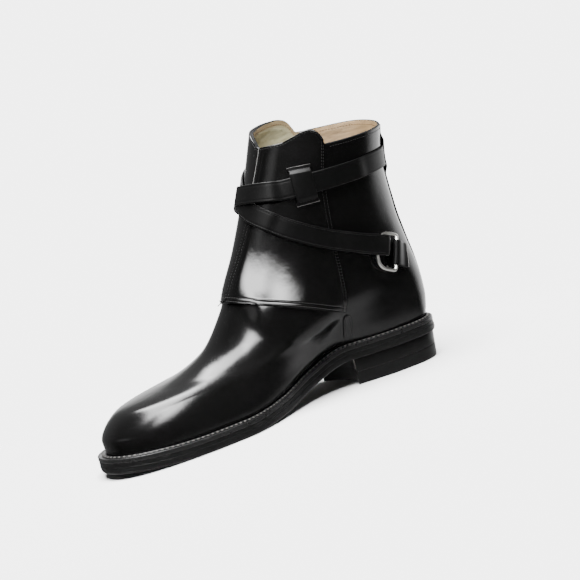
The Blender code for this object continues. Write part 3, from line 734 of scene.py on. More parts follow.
@dataclass(frozen=True)
class Leather:
    """Smooth dyed leather with a polished coat."""

    name: str
    level: float
    roughness: float
    spread: float
    coat: float
    grain_mm: float
    scuff: float
    shine: float = 0.45

    CLOUD_SCALE = 55.0
    PORE_SCALE = 1150.0
    PORE_SHARE = 0.6
    FINE_SCALE = 2600.0
    FINE_SHARE = 0.7
    SWELL_SCALE = 120.0
    SWELL_MM = 0.08
    SPECK_SCALE = 420.0
    SPECK_EDGE = (0.70, 0.78)
    SPECK_AREA = (0.45, 0.62)
    FINE_ROUGH = 0.35
    SPECK_ROUGH = 0.4
    CLOUD_MIDDLE = 0.6
    SCUFF_LIGHT = 5.0
    SCUFF_WARMTH = 0.05
    COAT_ROUGHNESS = 0.12

    def make(self) -> bpy.types.Material:
        """Builds the material."""
        board = Board(bpy.data.materials.new(self.name))
        cloud = board.noise(self.CLOUD_SCALE, detail=4.0, roughness=0.6)
        pores = board.cells(self.PORE_SCALE)
        fine = board.noise(self.FINE_SCALE)
        swell = board.noise(self.SWELL_SCALE)
        specks = board.noise(self.SPECK_SCALE, detail=2.0, roughness=0.7).step(*self.SPECK_EDGE)
        specks = specks * cloud.step(*self.SPECK_AREA)
        grain = pores * self.PORE_SHARE + fine * self.FINE_SHARE
        height = grain * (self.grain_mm * MM) + swell * (self.SWELL_MM * MM)
        rough = cloud * self.spread + fine * (self.FINE_ROUGH * self.spread)
        rough = rough + specks * (self.SPECK_ROUGH * self.scuff)
        worn = grey(self.level * self.SCUFF_LIGHT, self.SCUFF_WARMTH)
        colour = board.mix(specks * self.scuff, grey(self.level), worn)
        return board.close({
            "Base Color": colour,
            "Roughness": rough + (self.roughness - self.CLOUD_MIDDLE * self.spread),
            "Coat Weight": self.coat,
            "Coat Roughness": self.COAT_ROUGHNESS,
            "Specular IOR Level": self.shine,
            "Normal": board.bump(height),
        })


@dataclass(frozen=True)
class Edge:
    """Cut or trimmed edge of leather, with layers along its height and light wear."""

    name: str
    level: float
    worn_level: float
    roughness: float
    layer_mm: float
    wear: float
    warmth: float = 0.0
    shine: float = 0.2

    CLOUD_SCALE = 140.0
    FIBRE_STRETCH = (0.25, 0.25, 2.4)
    FIBRE_SCALE = 900.0
    FIBRE_MM = 0.08
    FIBRE_WEAR = 0.25
    LAYER_STRETCH = (0.02, 0.02, 1.0)
    LAYER_DEPTH_MM = 0.12
    SCRAPE_STRETCH = (0.15, 0.15, 3.0)
    SCRAPE_SCALE = 420.0
    SCRAPE_EDGE = (0.62, 0.74)
    SCRAPE_AREA = (0.42, 0.62)
    ROUGH_SPREAD = 0.2

    def make(self) -> bpy.types.Material:
        """Builds the material."""
        board = Board(bpy.data.materials.new(self.name))
        cloud = board.noise(self.CLOUD_SCALE, detail=4.0, roughness=0.65)
        fibre = board.streaks(self.FIBRE_STRETCH, self.FIBRE_SCALE, detail=4.0)
        layer = board.streaks(self.LAYER_STRETCH, 1.0 / (self.layer_mm * MM), detail=1.0)
        scrape = board.streaks(self.SCRAPE_STRETCH, self.SCRAPE_SCALE).step(*self.SCRAPE_EDGE)
        scrape = scrape * cloud.step(*self.SCRAPE_AREA)
        height = fibre * (self.FIBRE_MM * MM) + layer * (self.LAYER_DEPTH_MM * MM)
        colour = board.mix(
            scrape * self.wear + fibre * (self.FIBRE_WEAR * self.wear),
            grey(self.level, self.warmth),
            grey(self.worn_level, self.warmth),
        )
        return board.close({
            "Base Color": colour,
            "Roughness": cloud * self.ROUGH_SPREAD + (self.roughness - 0.5 * self.ROUGH_SPREAD),
            "Specular IOR Level": self.shine,
            "Normal": board.bump(height),
        })


@dataclass(frozen=True)
class Lining:
    """Soft undyed leather inside the boot: cream in front, tan behind, with stains and painted shade in its
    wrinkles.
    """

    name: str
    front: Colour
    back: Colour
    border_x: float
    wrinkle_mm: float

    BORDER_BLUR = 0.0006
    CLOUD_SCALE = 38.0
    STAIN_SCALE = 90.0
    STAIN_EDGE = (0.40, 0.72)
    STAIN_SHARE = 0.4
    FOLD_STRETCH = (0.8, 0.8, 1.5)
    FOLD_SCALE = 75.0
    CREASE_SHADE_EDGE = (0.56, 0.30)
    CREASE_SHADE_SHARE = 0.28
    NAP_SCALE = 2400.0
    NAP_MM = 0.03
    HEM_EDGE = (8.0, 3.0)
    HEM_SHARE = 0.75
    SHADE = 0.35
    ROUGHNESS = 0.55
    ROUGH_SPREAD = 0.15

    def make(self) -> bpy.types.Material:
        """Builds the material."""
        board = Board(bpy.data.materials.new(self.name))
        blur = self.BORDER_BLUR
        behind = board.axis(0).step(self.border_x + blur, self.border_x - blur)
        cloud = board.noise(self.CLOUD_SCALE, detail=4.0, roughness=0.6)
        stain = board.noise(self.STAIN_SCALE, detail=5.0, roughness=0.7).step(*self.STAIN_EDGE)
        folds = board.streaks(self.FOLD_STRETCH, self.FOLD_SCALE, detail=2.0)
        nap = board.noise(self.NAP_SCALE)
        colour = board.mix(behind, self.front, self.back)
        hem = board.laid(1).step(*self.HEM_EDGE)
        colour = board.mix(hem * self.HEM_SHARE, colour, self.back)
        # Darker tan in the real stains and, as painted shade, in the low troughs of the wrinkles that the
        # fold pattern raises.
        stain_and_crease_shade = stain * cloud * self.STAIN_SHARE + folds.step(*self.CREASE_SHADE_EDGE) * self.CREASE_SHADE_SHARE
        colour = board.mix(stain_and_crease_shade, colour, shaded(self.back, self.SHADE))
        height = folds * (self.wrinkle_mm * MM) + nap * (self.NAP_MM * MM)
        return board.close({
            "Base Color": colour,
            "Roughness": cloud * self.ROUGH_SPREAD + self.ROUGHNESS,
            "Normal": board.bump(height),
        })


@dataclass(frozen=True)
class Thread:
    """Sewing thread, with painted shade in the grooves of its twist."""

    name: str
    colour: Colour
    roughness: float

    TWIST_SCALE = 3200.0
    TWIST_MM = 0.05
    SHADE = 0.6

    def make(self) -> bpy.types.Material:
        """Builds the material."""
        board = Board(bpy.data.materials.new(self.name))
        twist = board.noise(self.TWIST_SCALE)
        return board.close({
            # The twist's low grooves are painted darker than its ridges: painted shade in the grooves.
            "Base Color": board.mix(twist, shaded(self.colour, self.SHADE), self.colour),
            "Roughness": self.roughness,
            "Normal": board.bump(twist * (self.TWIST_MM * MM)),
        })


@dataclass(frozen=True)
class Steel:
    """Plated wire with fine wear."""

    name: str
    colour: Colour
    roughness: float

    CLOUD_SCALE = 300.0
    SCRATCH_STRETCH = (3.0, 1.0, 0.4)
    SCRATCH_SCALE = 1500.0
    SCRATCH_MM = 0.02
    ROUGH_SPREAD = 0.16

    def make(self) -> bpy.types.Material:
        """Builds the material."""
        board = Board(bpy.data.materials.new(self.name))
        cloud = board.noise(self.CLOUD_SCALE, detail=4.0, roughness=0.6)
        scratch = board.streaks(self.SCRATCH_STRETCH, self.SCRATCH_SCALE, detail=2.0)
        return board.close({
            "Base Color": self.colour,
            "Metallic": 1.0,
            "Roughness": cloud * self.ROUGH_SPREAD + (self.roughness - 0.5 * self.ROUGH_SPREAD),
            "Normal": board.bump(scratch * (self.SCRATCH_MM * MM)),
        })


@dataclass(frozen=True)
class Paper:
    """Plain pale ground that fades out round the boot."""

    name: str
    level: float
    reach_x: float
    reach_y: float

    ROUGHNESS = 0.8
    FADE = (1.0, 0.30)

    def make(self) -> bpy.types.Material:
        """Builds the material."""
        board = Board(bpy.data.materials.new(self.name))
        x = board.axis(0) * (1.0 / self.reach_x)
        y = board.axis(1) * (1.0 / self.reach_y)
        return board.close({
            "Base Color": grey(self.level),
            "Roughness": self.ROUGHNESS,
            "Specular IOR Level": 0.0,
            "Alpha": (x * x + y * y).step(*self.FADE),
        })


class Finish(Enum):
    """Every finish of the boot and its ground."""

    UPPER = Leather("upper_leather", 0.0025, 0.17, 0.03, 0.06, 0.012, 0.30)
    PANEL = Leather("panel_leather", 0.0025, 0.10, 0.015, 0.06, 0.006, 0.20)
    STRAP = Leather("strap_leather", 0.0028, 0.40, 0.04, 0.0, 0.010, 0.20, 0.20)
    STAY = Leather("stay_leather", 0.0028, 0.45, 0.04, 0.0, 0.010, 0.20, 0.04)
    CUT = Edge("cut_edge", 0.10, 0.42, 0.55, 0.5, 0.9, 0.02)
    RIM = Edge("rim_edge", 0.006, 0.05, 0.50, 0.6, 0.5)
    WELT = Edge("welt_leather", 0.005, 0.05, 0.30, 1.2, 0.45, shine=0.4)
    SOLE = Edge("sole_edge", 0.003, 0.04, 0.36, 1.1, 0.40)
    HEEL = Edge("heel_edge", 0.0022, 0.03, 0.34, 2.6, 0.40)
    RUBBER = Edge("heel_rubber", 0.004, 0.03, 0.50, 3.4, 0.40)
    RAW = Edge("raw_leather", 0.22, 0.50, 0.75, 0.6, 0.8, 0.04)
    LINING = Lining("lining_leather", (0.42, 0.40, 0.25, 1.0), (0.30, 0.20, 0.10, 1.0), -0.112, 1.4)
    INSOLE = Lining("insole_leather", (0.55, 0.43, 0.28, 1.0), (0.55, 0.43, 0.28, 1.0), -0.062, 0.20)
    DARK_THREAD = Thread("dark_thread", (0.010, 0.010, 0.010, 1.0), 0.55)
    GREY_THREAD = Thread("grey_thread", (0.035, 0.034, 0.033, 1.0), 0.60)
    BROWN_THREAD = Thread("brown_thread", (0.20, 0.11, 0.05, 1.0), 0.65)
    RING = Steel("ring_steel", (0.72, 0.71, 0.67, 1.0), 0.33)
    WELT_THREAD = Thread("welt_thread", (0.085, 0.082, 0.078, 1.0), 0.60)
    GROUND = Paper("ground_paper", 0.80, 0.42, 0.30)


class Palette:
    """Materials, each made when it is first asked for."""

    def __init__(self) -> None:
        """Starts with none."""
        self.made: dict[Finish, bpy.types.Material] = {}

    def get(self, finish: Finish) -> bpy.types.Material:
        """Material of a finish."""
        if finish not in self.made:
            self.made[finish] = finish.value.make()
        return self.made[finish]


@dataclass
class Bench:
    """What every sub-assembly works with: the form, the materials and the strap's route."""

    last: Last
    palette: Palette
    strap: Route

    def publish(
        self, name: str, bm: bmesh.types.BMesh, finishes: Sequence[Finish], slot: str,
        nodes: Sequence[str] = (), sharp: float = 50.0,
    ) -> bpy.types.Object:
        """Turns a mesh in millimetres into a piece of the boot.

        Args:
            name: Name of the piece.
            bm: The mesh, which is freed.
            finishes: Its materials, in the order of its faces' material numbers.
            slot: The record's material slot; not used.
            nodes: Solids that it stands for.
            sharp: Angle in degrees above which an edge stays sharp.

        Returns:
            The piece.
        """
        bmesh.ops.recalc_face_normals(bm, faces=bm.faces)
        bmesh.ops.translate(bm, verts=bm.verts, vec=Vector(-self.last.origin))
        bmesh.ops.scale(bm, verts=bm.verts, vec=Vector((MM, MM, MM)))
        mesh = bpy.data.meshes.new(name)
        bm.to_mesh(mesh)
        bm.free()
        mesh.shade_smooth()
        mesh.set_sharp_from_angle(angle=math.radians(sharp))
        return self.place(name, mesh, finishes, slot, nodes)

    def place(
        self, name: str, mesh: bpy.types.Mesh, finishes: Sequence[Finish], slot: str,
        nodes: Sequence[str] = (),
    ) -> bpy.types.Object:
        """Links a mesh in metres as a piece that rides on the boot."""
        for finish in finishes:
            mesh.materials.append(self.palette.get(finish))
        piece = bpy.data.objects.new(name, mesh)
        bpy.context.scene.collection.objects.link(piece)
        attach(piece, BODY)
        if nodes:
            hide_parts(*nodes)
        LOG.info("%s: %d faces", name, len(mesh.polygons))
        return piece


def lay_grid(points: Array, marks: Array) -> bmesh.types.BMesh:
    """Grid of quads moved onto rows of points, closed where its borders meet.

    Args:
        points: Places in millimetres, rows by columns.
        marks: Map in millimetres for the same rows and columns.

    Returns:
        The mesh, with the map in its layer "laid".
    """
    rows, columns = points.shape[:2]
    bm = bmesh.new()
    layer = bm.loops.layers.uv.new("laid")
    bmesh.ops.create_grid(bm, x_segments=columns - 1, y_segments=rows - 1, size=1.0)
    spots = {}
    for vert in bm.verts:
        column = round(0.5 * (vert.co.x + 1.0) * (columns - 1))
        row = round(0.5 * (vert.co.y + 1.0) * (rows - 1))
        spots[vert] = (row, column)
        vert.co = points[row, column]
    for face in bm.faces:
        for loop in face.loops:
            loop[layer].uv = marks[spots[loop.vert]]
    bmesh.ops.remove_doubles(bm, verts=bm.verts, dist=SEAM)
    return bm


def paint(bm: bmesh.types.BMesh, number: Callable[[float, float], int]) -> None:
    """Gives each face the material number that its place on the map asks for."""
    layer = bm.loops.layers.uv["laid"]
    for face in bm.faces:
        middle = sum((loop[layer].uv for loop in face.loops), Vector((0.0, 0.0))) / len(face.loops)
        face.material_index = number(middle.x, middle.y)


def bare_ends(bm: bmesh.types.BMesh, reach: float) -> None:
    """Gives both ends of a band its second material."""
    layer = bm.loops.layers.uv["laid"]
    total = max(loop[layer].uv.x for face in bm.faces for loop in face.loops)
    paint(bm, lambda run, across: int(min(run, total - run) < reach))


def cap(bm: bmesh.types.BMesh) -> None:
    """Closes the open ends of a tube."""
    border = [edge for edge in bm.edges if edge.is_boundary]
    bmesh.ops.holes_fill(bm, edges=border, sides=0)


def lengths(points: Array, axis: int) -> Array:
    """Distance run along one axis of a grid of points."""
    steps = np.linalg.norm(np.diff(points, axis=axis), axis=-1)
    start = np.zeros_like(np.take(steps, [0], axis=axis))
    return np.cumsum(np.concatenate([start, steps], axis=axis), axis=axis)


def spaced(at: Array, run: Array, rows: Array) -> Array:
    """Rows of numbers read at distances along a line."""
    return np.stack([np.interp(at, run, column) for column in rows.T], -1)


@dataclass
class Ribbon:
    """Section of a strap: a flat band with rounded edges and a pressed line beside each of them."""

    width: float
    thickness: float
    crease_at: float = 2.0
    crease_depth: float = 0.0
    crease_width: float = 0.45
    edge_radius: float = 0.9
    round_steps: int = 5
    face_steps: int = 24

    def section(self) -> tuple[Array, Array]:
        """Closed section, as shares of the half-width and heights from the middle."""
        half = 0.5 * self.width
        radius = min(0.5 * self.thickness, self.edge_radius)
        flat = np.linspace(half - radius, radius - half, self.face_steps)
        near = np.abs(half - np.abs(flat)) - self.crease_at
        press = self.crease_depth * np.exp(-((near / self.crease_width) ** 2))
        turn = np.linspace(QUARTER_TURN, 3.0 * QUARTER_TURN, self.round_steps + 2)[1:-1]
        left = radius - half + radius * np.cos(turn)
        curl = 0.5 * self.thickness * np.sin(turn)
        across = np.concatenate([flat, left, -flat, -left])
        under = np.full(flat.shape, -0.5 * self.thickness)
        height = np.concatenate([0.5 * self.thickness - press, curl, under, -curl])
        return across / half, height

    def lay(
        self, route: Route, along: Array, lift: Array, lean: Array,
        width: Array | None = None, shift: float = 0.0,
    ) -> bmesh.types.BMesh:
        """Lays the band along a route.

        Args:
            route: The curve it follows.
            along: Distances of its sections along the route.
            lift: Height of its middle above the upper.
            lean: Turn of each section, out of the surface.
            width: Its width at each section, where that varies.
            shift: Distance that it lies beside the route.

        Returns:
            The closed band.
        """
        share, height = self.section()
        share = np.append(share, share[0])
        height = np.append(height, height[0])
        half = 0.5 * np.broadcast_to(self.width if width is None else width, along.shape)
        at = along[:, None] - height * np.sin(lean)[:, None]
        high = lift[:, None] + height * np.cos(lean)[:, None]
        across = share * half[:, None] + shift
        points = route.place(at, across, high)
        run = lengths(points, 0)
        marks = np.stack([np.broadcast_to(run.mean(axis=1)[:, None], across.shape), across], -1)
        bm = lay_grid(points, marks)
        cap(bm)
        return bm


@dataclass
class Sewing:
    """Rows of stitches, each a small bead laid along its seam."""

    bench: Bench
    length: float = 1.7
    width: float = 0.42
    height: float = 0.36
    sides: int = 6
    rings: int = 5
    fullness: float = 0.7
    sight: float = 0.5

    def bead(self) -> tuple[Array, list[list[int]]]:
        """Vertices of one stitch in its own axes, and its faces."""
        bm = bmesh.new()
        bmesh.ops.create_uvsphere(bm, u_segments=self.sides, v_segments=self.rings, radius=0.5)
        bmesh.ops.rotate(bm, verts=bm.verts, cent=Vector(), matrix=Matrix.Rotation(QUARTER_TURN, 3, "Y"))
        bm.verts.index_update()
        verts = np.array([vert.co[:] for vert in bm.verts])
        faces = [[vert.index for vert in face.verts] for face in bm.faces]
        bm.free()
        verts[:, 0] = np.sign(verts[:, 0]) * 0.5 * np.abs(2.0 * verts[:, 0]) ** self.fullness
        return verts * np.array([self.length, self.width, self.height]), faces

    def spread(self, points: Array, normals: Array, pitch: float) -> tuple[Array, Array, Array]:
        """Evenly spaced places on a line of points, with its direction and normal there."""
        run = lengths(points, 0)
        count = max(2, int(run[-1] / pitch))
        at = (np.arange(count) + 0.5) * run[-1] / count
        ahead = spaced(at + self.sight, run, points) - spaced(at - self.sight, run, points)
        return spaced(at, run, points), unit(ahead), unit(spaced(at, run, normals))

    def sew(
        self, name: str, lines: Sequence[Line], pitch: float, finish: Finish, slot: str,
        slant: float = 0.0,
    ) -> bpy.types.Object:
        """Sews rows of stitches as one piece.

        Args:
            name: Name of the piece.
            lines: Points and normals of each row, in millimetres.
            pitch: Distance between stitches.
            finish: The thread.
            slot: The record's material slot; not used.
            slant: Turn of each stitch across its row, in degrees.

        Returns:
            The piece.
        """
        bead, bead_faces = self.bead()
        lean = math.radians(slant)
        blocks = []
        for points, normals in lines:
            spot, ahead, facing = self.spread(points, normals, pitch)
            side = unit(np.cross(facing, ahead))
            along = ahead * math.cos(lean) + side * math.sin(lean)
            across = side * math.cos(lean) - ahead * math.sin(lean)
            axes = np.stack([along, across, facing], 1)
            blocks.append((spot[:, None] + bead @ axes - self.bench.last.origin).reshape(-1, 3))
        verts = np.concatenate(blocks) * MM
        starts = np.arange(len(verts) // len(bead)) * len(bead)
        faces = [[start + corner for corner in face] for start in starts for face in bead_faces]
        mesh = bpy.data.meshes.new(name)
        mesh.from_pydata(verts, [], faces)
        mesh.shade_smooth()
        return self.bench.place(name, mesh, [finish], slot)


@dataclass
class Upper:
    """Vamp, back quarters and lining as one wall with a rounded rim."""

    bench: Bench
    wall: float = 2.2
    around: int = 330
    outside: int = 112
    over: int = 9
    inside: int = 60
    blend_from: float = 6.0
    rim_reach: float = 1.5
    sharp: float = 80.0
    collar_seam: float = 3.2
    collar_from: float = 80.0
    collar_to: float = 264.0
    collar_lift: float = 0.1
    lining_seam: float = 3.6
    lining_pitch: float = 2.4

    COLLAR_STEPS = 200
    LINING_STEPS = 400

    def counts(self, top: Array, rows: int) -> Array:
        """Section counts from the feather edge to the rim, row by row."""
        share = np.linspace(0.0, TOP_SECTION, rows)[:, None]
        spread = np.maximum(0.0, share - self.blend_from) / (TOP_SECTION - self.blend_from)
        return np.where(spread > 0.0, self.blend_from + (top - self.blend_from) * spread, share)

    def build(self) -> bpy.types.Object:
        """Builds the wall, outside first."""
        last = self.bench.last
        half = 0.5 * self.wall
        t = closed_turn(self.around)
        top = last.rim(t, half)
        outer = self.counts(top, self.outside)
        inner = self.counts(top, self.inside)[::-1]
        outside = last.lifted(np.broadcast_to(t, outer.shape), outer, 0.0)
        inside = last.lifted(np.broadcast_to(t, inner.shape), inner, -self.wall)
        point, normal, _, up = last.slopes(t, top)
        angle = np.linspace(0.0, HALF_TURN, self.over + 2)[1:-1, None, None]
        rim = point + normal * half * (np.cos(angle) - 1.0) + unit(up) * half * np.sin(angle)
        rim = rim + normal * last.relief(point)[:, None]
        points = np.concatenate([outside, rim, inside])
        run = lengths(points, 0)
        run = run - run[self.outside + self.over // 2]
        bm = lay_grid(points, np.stack([np.broadcast_to(t, run.shape), run], -1))
        paint(bm, lambda along, past: 1 if abs(past) < self.rim_reach else (0 if past < 0.0 else 2))
        finishes = [Finish.UPPER, Finish.RIM, Finish.LINING]
        return self.bench.publish("upper_wall", bm, finishes, "upper", ["upper"], self.sharp)

    def dress(self, sewing: Sewing) -> None:
        """Sews the collar of the back quarters and the lining's edge."""
        last = self.bench.last
        back = np.radians(np.linspace(self.collar_from, self.collar_to, self.COLLAR_STEPS))
        count = last.rim(back, self.collar_seam)
        line = last.line(back, count, self.collar_lift)
        sewing.sew("collar_stitches", [line], STITCH_PITCH, Finish.DARK_THREAD, "upper")
        round_all = np.radians(np.linspace(-180.0, 180.0, self.LINING_STEPS))
        count = last.rim(round_all, self.lining_seam)
        points, normals = last.line(round_all, count, -self.wall - STITCH_SUNK)
        line = (points, -normals)
        sewing.sew("lining_stitches", [line], self.lining_pitch, Finish.BROWN_THREAD, "upper")


class LooseEnd(NamedTuple):
    """Curved end of thread: share up the front edge, reach in three directions and bend, in millimetres."""

    row: float
    forward: float
    aside: float
    up: float
    bend: float


LOOSE_ENDS = [
    LooseEnd(0.0, 4.6, 0.5, -1.2, 1.6),
    LooseEnd(0.01, 3.4, 1.5, 1.8, -1.4),
    LooseEnd(0.0, -2.0, 4.0, 3.4, 2.2),
    LooseEnd(0.07, 3.6, 0.6, 0.9, 1.4),
    LooseEnd(0.08, 1.6, 0.5, 4.2, -1.2),
    LooseEnd(0.07, -1.5, 3.4, -3.2, -1.8),
]


class Border(Enum):
    """Edge of a panel: whether lines run up the panel to it, and whether it is at their far end."""

    FRONT = (False, False)
    SEAM = (False, True)
    VAMP = (True, False)
    COLLAR = (True, True)


class Row(NamedTuple):
    """Stitch row beside an edge of a panel: distance from it, and the shares between which it runs."""

    border: Border
    distance: float
    low: float
    high: float


@dataclass
class FrontPanel:
    """One front panel of the shaft, sewn over the vamp and the back quarter."""

    bench: Bench
    side: Side
    thickness: float = PANEL_THICKNESS
    front_low: float = 1.0
    front_top: float = 13.0
    lap: float = 4.5
    lap_full: float = 6.5
    lap_end: float = 30.0
    seam_top: float = 74.0
    seam_x: float = 88.0
    sunk: float = 0.3
    bare_edge: float = 0.7
    bare_length: float = 36.0
    rim_edge: float = 0.1
    rung_width: float = 0.34
    rung_slant: float = 75.0
    tack_pitch: float = 0.8
    tack_slant: float = 80.0
    loose_width: float = 0.75
    loose_length: float = 1.2
    loose_pitch: float = 0.5
    columns: int = 80
    rows: int = 90
    scan: int = 90
    seam_low: float = field(init=False)

    EDGE_INSET = (0.0, 0.0, 0.12, 0.38)
    EDGE_SHARE = (0.0, 0.55, 0.86, 1.0)
    EDGE_MARKS = (0.9, 1.3, 1.7, 2.1, 2.8, 3.6, 4.2, 4.6, 5.0, 5.6, 6.4)
    PRESS_AT = (1.5, 4.4)
    PRESS = 0.16
    PRESS_WIDTH = 0.5
    VAMP_RUN = (0.015, 0.985)
    SEAM_RUN = (0.02, 0.98)
    COLLAR_ROW = Row(Border.COLLAR, 2.2, 0.03, 0.97)
    FRONT_RUN = (0.03, 0.98)
    FRONT_SHORT_RUN = (0.03, 0.62)
    RUNG_RUN = (0.16, 0.5)
    TACK_RUN = (0.01, 0.12)
    LOOSE_STEPS = 20

    def __post_init__(self) -> None:
        """Finds the foot of the side seam."""
        self.seam_low = abs(self.bench.last.turn_at(self.seam_x, vamp_seam(self.seam_x), self.side))

    @property
    def is_medial(self) -> bool:
        """Whether this panel laps over the other."""
        return self.side is Side.MEDIAL

    def spot(self, row: Array, column: Array) -> tuple[Array, Array, Array]:
        """Angle, section count and degrees past the front edge at shares up and across the panel."""
        last = self.bench.last
        under_lap = 0.0 if self.is_medial else self.lap
        front = np.radians(self.front_low + under_lap + (self.front_top - self.front_low) * row)
        seam = self.seam_low + (math.radians(self.seam_top) - self.seam_low) * row
        t = front + (self.side.value * seam - front) * column
        low = last.level(t, vamp_seam)
        return t, low + (last.rim(t) - low) * row, np.degrees(np.abs(t - front))

    def lap_share(self, past: Array) -> Array:
        """How much the panel is raised over the other one."""
        full = ease((self.lap_end - past) / (self.lap_end - self.lap_full))
        return full if self.is_medial else np.zeros_like(past)

    def top_lift(self, past: Array) -> Array:
        """Lift of the panel's outer face."""
        return SEAT + self.thickness + self.lap_share(past) * (self.thickness + GAP)

    def shares(self, fixed: Array, inset: Callable[[float], Array], upward: bool) -> Array:
        """Shares along the panel at wanted distances from its front edge or from the vamp seam.

        Args:
            fixed: Shares in the other direction, one for each line that is measured.
            inset: Gives the distances wanted on a line of some length.
            upward: Whether the lines run up the panel, and not across it.

        Returns:
            One row of shares for each line.
        """
        share = np.linspace(0.0, 1.0, self.scan)
        shape = (len(fixed), self.scan)
        row, column = np.broadcast_to(fixed[:, None], shape), np.broadcast_to(share, shape)
        if upward:
            row, column = column, row
        t, v, _ = self.spot(row, column)
        run = lengths(self.bench.last.surface(t, v), 1)
        return np.array([np.interp(inset(line[-1]), line, share) for line in run])

    def marks(self, length: float, count: int) -> Array:
        """Distances over a panel's length, close together at both of its edges."""
        edge = np.array(self.EDGE_INSET + self.EDGE_MARKS)
        inner = np.linspace(edge[-1], length - edge[-1], count)[1:-1]
        return np.concatenate([edge, inner, length - edge[::-1]])

    def build(self) -> bpy.types.Object:
        """Builds the panel with rounded edges and pressed seams."""
        last = self.bench.last
        rows = self.shares(np.array([0.5]), lambda length: self.marks(length, self.rows), True)[0]
        columns = self.shares(rows, lambda length: self.marks(length, self.columns), False)
        grid_rows = np.broadcast_to(rows[:, None], columns.shape)
        t, v, past = self.spot(grid_rows, columns)
        base = last.surface(t, v)
        from_front = lengths(base, 1)
        from_seam = from_front[:, -1:] - from_front
        from_vamp = lengths(base, 0)
        from_collar = from_vamp[-1:] - from_vamp
        share_row = self.edge_share(columns.shape[0])
        share_column = self.edge_share(columns.shape[1])
        share = np.minimum(share_row[:, None], share_column)
        lap = self.lap_share(past)
        top = self.top_lift(past)
        for distance in (from_front, from_seam, from_vamp):
            for at in self.PRESS_AT:
                top = top - self.PRESS * np.exp(-(((distance - at) / self.PRESS_WIDTH) ** 2))
        bottom = -self.sunk + lap * (SEAT + self.thickness + 0.5 * self.sunk)
        points = last.lifted(t, v, bottom + (top - bottom) * share)
        bm = lay_grid(points, np.stack([from_front, from_collar], -1))
        paint(bm, self.border_finish)
        name = self.side.name.lower() + "_panel"
        edge = Finish.CUT if self.is_medial else Finish.RIM
        return self.bench.publish(name + "_leather", bm, [Finish.PANEL, edge, Finish.RIM], "upper", [name])

    def border_finish(self, front: float, collar: float) -> int:
        """Material number at distances from the front edge and the collar."""
        if front < self.bare_edge and collar < self.bare_length:
            return 1
        return 2 if min(front, collar) < self.rim_edge else 0

    def edge_share(self, count: int) -> Array:
        """Height of the panel's edges, as a share, over a number of places."""
        share = np.ones(count)
        share[: len(self.EDGE_SHARE)] = self.EDGE_SHARE
        share[-len(self.EDGE_SHARE):] = self.EDGE_SHARE[::-1]
        return share

    def line(self, row: Array, column: Array) -> Line:
        """Points and normals of a stitch row on the panel's outer face."""
        t, v, past = self.spot(row, column)
        return self.bench.last.line(t, v, self.top_lift(past) - STITCH_SUNK)

    def beside(self, row: Row) -> Line:
        """Points and normals of a stitch row beside one edge."""
        upward, far = row.border.value
        fixed = np.linspace(row.low, row.high, self.scan)
        found = self.shares(
            fixed, lambda length: np.array([length - row.distance if far else row.distance]), upward
        )[:, 0]
        return self.line(found, fixed) if upward else self.line(fixed, found)

    def sew_rows(
        self, sewing: Sewing, name: str, rows: Sequence[Row], pitch: float, finish: Finish,
        slant: float = 0.0,
    ) -> None:
        """Sews rows beside the panel's edges as one piece."""
        title = self.side.name.lower() + name
        sewing.sew(title, [self.beside(row) for row in rows], pitch, finish, "upper", slant)

    def dress(self, sewing: Sewing) -> None:
        """Sews the panel down along its edges."""
        near, far = self.PRESS_AT
        vamp = [Row(Border.VAMP, distance, *self.VAMP_RUN) for distance in self.PRESS_AT]
        self.sew_rows(sewing, "_vamp_stitches", vamp, STITCH_PITCH, Finish.GREY_THREAD)
        dark = [Row(Border.SEAM, distance, *self.SEAM_RUN) for distance in self.PRESS_AT]
        dark.append(self.COLLAR_ROW)
        if self.is_medial:
            dark.append(Row(Border.FRONT, near, *self.FRONT_RUN))
            dark.append(Row(Border.FRONT, far, *self.FRONT_SHORT_RUN))
        self.sew_rows(sewing, "_panel_stitches", dark, STITCH_PITCH, Finish.DARK_THREAD)
        between = 0.5 * (near + far)
        rungs = replace(sewing, length=far - near, width=self.rung_width)
        seam = [Row(Border.SEAM, between, *self.RUNG_RUN)]
        self.sew_rows(rungs, "_seam_rungs", seam, STITCH_PITCH, Finish.DARK_THREAD, self.rung_slant)
        tack = [Row(Border.SEAM, between, *self.TACK_RUN)]
        self.sew_rows(rungs, "_bar_tack", tack, self.tack_pitch, Finish.GREY_THREAD, self.tack_slant)
        if self.is_medial:
            width = self.loose_width
            fine = replace(sewing, length=self.loose_length, width=width, height=width)
            fine.sew("loose_thread", self.loose_ends(), self.loose_pitch, Finish.DARK_THREAD, "upper")

    def loose_ends(self) -> list[Line]:
        """Ends of thread that stand off the foot of the front edge."""
        share = np.linspace(0.0, 1.0, self.LOOSE_STEPS)[:, None]
        lines = []
        for end in LOOSE_ENDS:
            start, normal = self.line(np.array([end.row]), np.array([0.0]))
            reach = np.array([end.forward, end.aside, end.up])
            bend = np.array([0.0, 0.0, end.bend])
            points = start + share * reach + share * (1.0 - share) * bend
            lines.append((points, np.broadcast_to(normal, points.shape)))
        return lines


